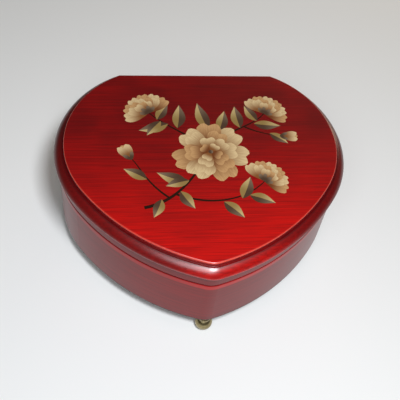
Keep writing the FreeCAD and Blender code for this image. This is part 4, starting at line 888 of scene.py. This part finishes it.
# Pads: name, node, body, spacing of the mesh in mm, fill
PADS = (
    ("stuffed_floor_pad", "floor_pad", "case", 1.3, 0.8),
    ("stuffed_ring_rolls", "ring_rolls", "case", 0.9, 0.9),
    ("stuffed_lid_lining", "lid_lining", "lid", 1.4, 0.7),
)
CLOTH_QUALITY, CLOTH_PRESSURE, CLOTH_FRAMES = 4, 4, 20


def swell(piece, most):
    """Swell a piece by cloth pressure, with no point moved by more than most."""
    scene = bpy.context.scene
    rest = [v.co.copy() for v in piece.data.vertices]
    cloth = piece.modifiers.new("stuffing", "CLOTH")
    cloth.settings.quality = CLOTH_QUALITY
    cloth.settings.use_pressure = True
    cloth.settings.uniform_pressure_force = CLOTH_PRESSURE
    cloth.settings.effector_weights.gravity = 0
    for step in range(1, CLOTH_FRAMES + 1):
        scene.frame_set(step)
    swollen = piece.evaluated_get(bpy.context.evaluated_depsgraph_get())
    moved = [v.co.copy() for v in swollen.data.vertices]
    if len(moved) != len(rest):
        raise RuntimeError(f"The simulation changed the number of points of {piece.name}")
    piece.modifiers.clear()
    scene.frame_set(1)
    for vert, start, end in zip(piece.data.vertices, rest, moved):
        shift = end - start
        if shift.length > most:
            shift *= most / shift.length
        vert.co = start + shift


def soften(name, node, body, voxel):
    """Make a stuffed pad of a soft block, and let it stand for its node."""
    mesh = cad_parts[node].data.copy()
    mesh.materials.clear()
    bm = bmesh.new()
    bm.from_mesh(mesh)
    bmesh.ops.remove_doubles(bm, verts=bm.verts, dist=WELD)
    bmesh.ops.recalc_face_normals(bm, faces=bm.faces)
    bm.to_mesh(mesh)
    bm.free()
    piece = new_object(name, mesh)
    remesh = piece.modifiers.new("even_mesh", "REMESH")
    remesh.mode = "VOXEL"
    remesh.voxel_size = voxel
    evened = piece.evaluated_get(bpy.context.evaluated_depsgraph_get())
    piece.data = bpy.data.meshes.new_from_object(evened)
    piece.modifiers.clear()
    swell(piece, chosen_sizes().puff)
    smooth = piece.modifiers.new("soft_corners", "SUBSURF")
    smooth.levels = smooth.render_levels = 1
    for face in piece.data.polygons:
        face.use_smooth = True
    piece.data.materials.append(bpy.data.materials["burgundy_velvet"])
    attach(piece, body)
    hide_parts(node)


class MUSICBOX_OT_velvet(bpy.types.Operator):
    """Stuff the floor pad, the ring rolls and the lid's lining"""

    bl_idname = "musicbox.velvet"
    bl_label = "Velvet pads"

    def execute(self, context):
        cotton_velvet("burgundy_velvet", chosen_colours().velvet, chosen_sizes().pile)
        for name, node, body, spacing, fill in PADS:
            soften(name, node, body, spacing * MM)
        return {"FINISHED"}


class MUSICBOX_OT_movement(bpy.types.Operator):
    """Finish the movement, its key and its clear cover"""

    bl_idname = "musicbox.movement"
    bl_label = "Movement"

    def execute(self, context):
        colours = chosen_colours()
        paint((
            "governor_cock", "pin_bush", "spring_barrel", "barrel_cover", "cylinder",
            "cylinder_pinion", "great_wheel", "second_pinion", "worm_wheel", "governor_fly",
        ), brass("movement_brass", colours.brass, colours.brass_tarnish, share=0.2))
        paint((
            "comb", "comb_screws", "cock_screw", "movement_screws", "lever_post",
            "winding_arbor", "winding_key", "mainspring", "cylinder_arbor", "second_arbor",
            "governor_worm", "stop_lever", "start_pin",
        ), ground_steel("ground_steel", colours.steel))
        paint(("bedplate",), washed_zinc("gold_washed_zinc", colours.zinc))
        paint(("movement_cover",), clear_acrylic("clear_acrylic"))
        return {"FINISHED"}


class MUSICBOX_OT_fittings(bpy.types.Operator):
    """Finish the ball feet and the hinges in aged brass"""

    bl_idname = "musicbox.fittings"
    bl_label = "Brass fittings"

    def execute(self, context):
        colours = chosen_colours()
        paint((
            "foot_front", "foot_left", "foot_right", "hinge_leaves_case", "hinge_leaves_lid",
            "hinge_pins", "hinge_screws_case", "hinge_screws_lid",
        ), brass("aged_brass", colours.aged_brass, colours.brass_tarnish, share=0.35))
        return {"FINISHED"}


STEPS = (
    MUSICBOX_OT_stage,
    MUSICBOX_OT_lacquer,
    MUSICBOX_OT_inlay,
    MUSICBOX_OT_velvet,
    MUSICBOX_OT_movement,
    MUSICBOX_OT_fittings,
)


class MUSICBOX_PT_panel(bpy.types.Panel):
    """Steps that finish the music box, and the sizes and colours they use"""

    bl_idname = "MUSICBOX_PT_panel"
    bl_label = "Music Box"
    bl_space_type = "VIEW_3D"
    bl_region_type = "UI"
    bl_category = "Music Box"

    def draw(self, context):
        for step in STEPS:
            self.layout.operator(step.bl_idname)
        for group in (context.scene.music_box_sizes, context.scene.music_box_colours):
            for key in group.__annotations__:
                self.layout.prop(group, key)


CLASSES = (MusicBoxColours, MusicBoxSizes) + STEPS + (MUSICBOX_PT_panel,)


def register():
    for cls in CLASSES:
        bpy.utils.register_class(cls)
    bpy.types.Scene.music_box_colours = bpy.props.PointerProperty(type=MusicBoxColours)
    bpy.types.Scene.music_box_sizes = bpy.props.PointerProperty(type=MusicBoxSizes)


def unregister():
    del bpy.types.Scene.music_box_sizes
    del bpy.types.Scene.music_box_colours
    for cls in reversed(CLASSES):
        bpy.utils.unregister_class(cls)


def main():
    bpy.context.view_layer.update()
    register()
    bpy.ops.musicbox.stage()
    bpy.ops.musicbox.lacquer()
    bpy.ops.musicbox.inlay()
    bpy.ops.musicbox.velvet()
    bpy.ops.musicbox.movement()
    bpy.ops.musicbox.fittings()


if __name__ == "__main__":
    main()
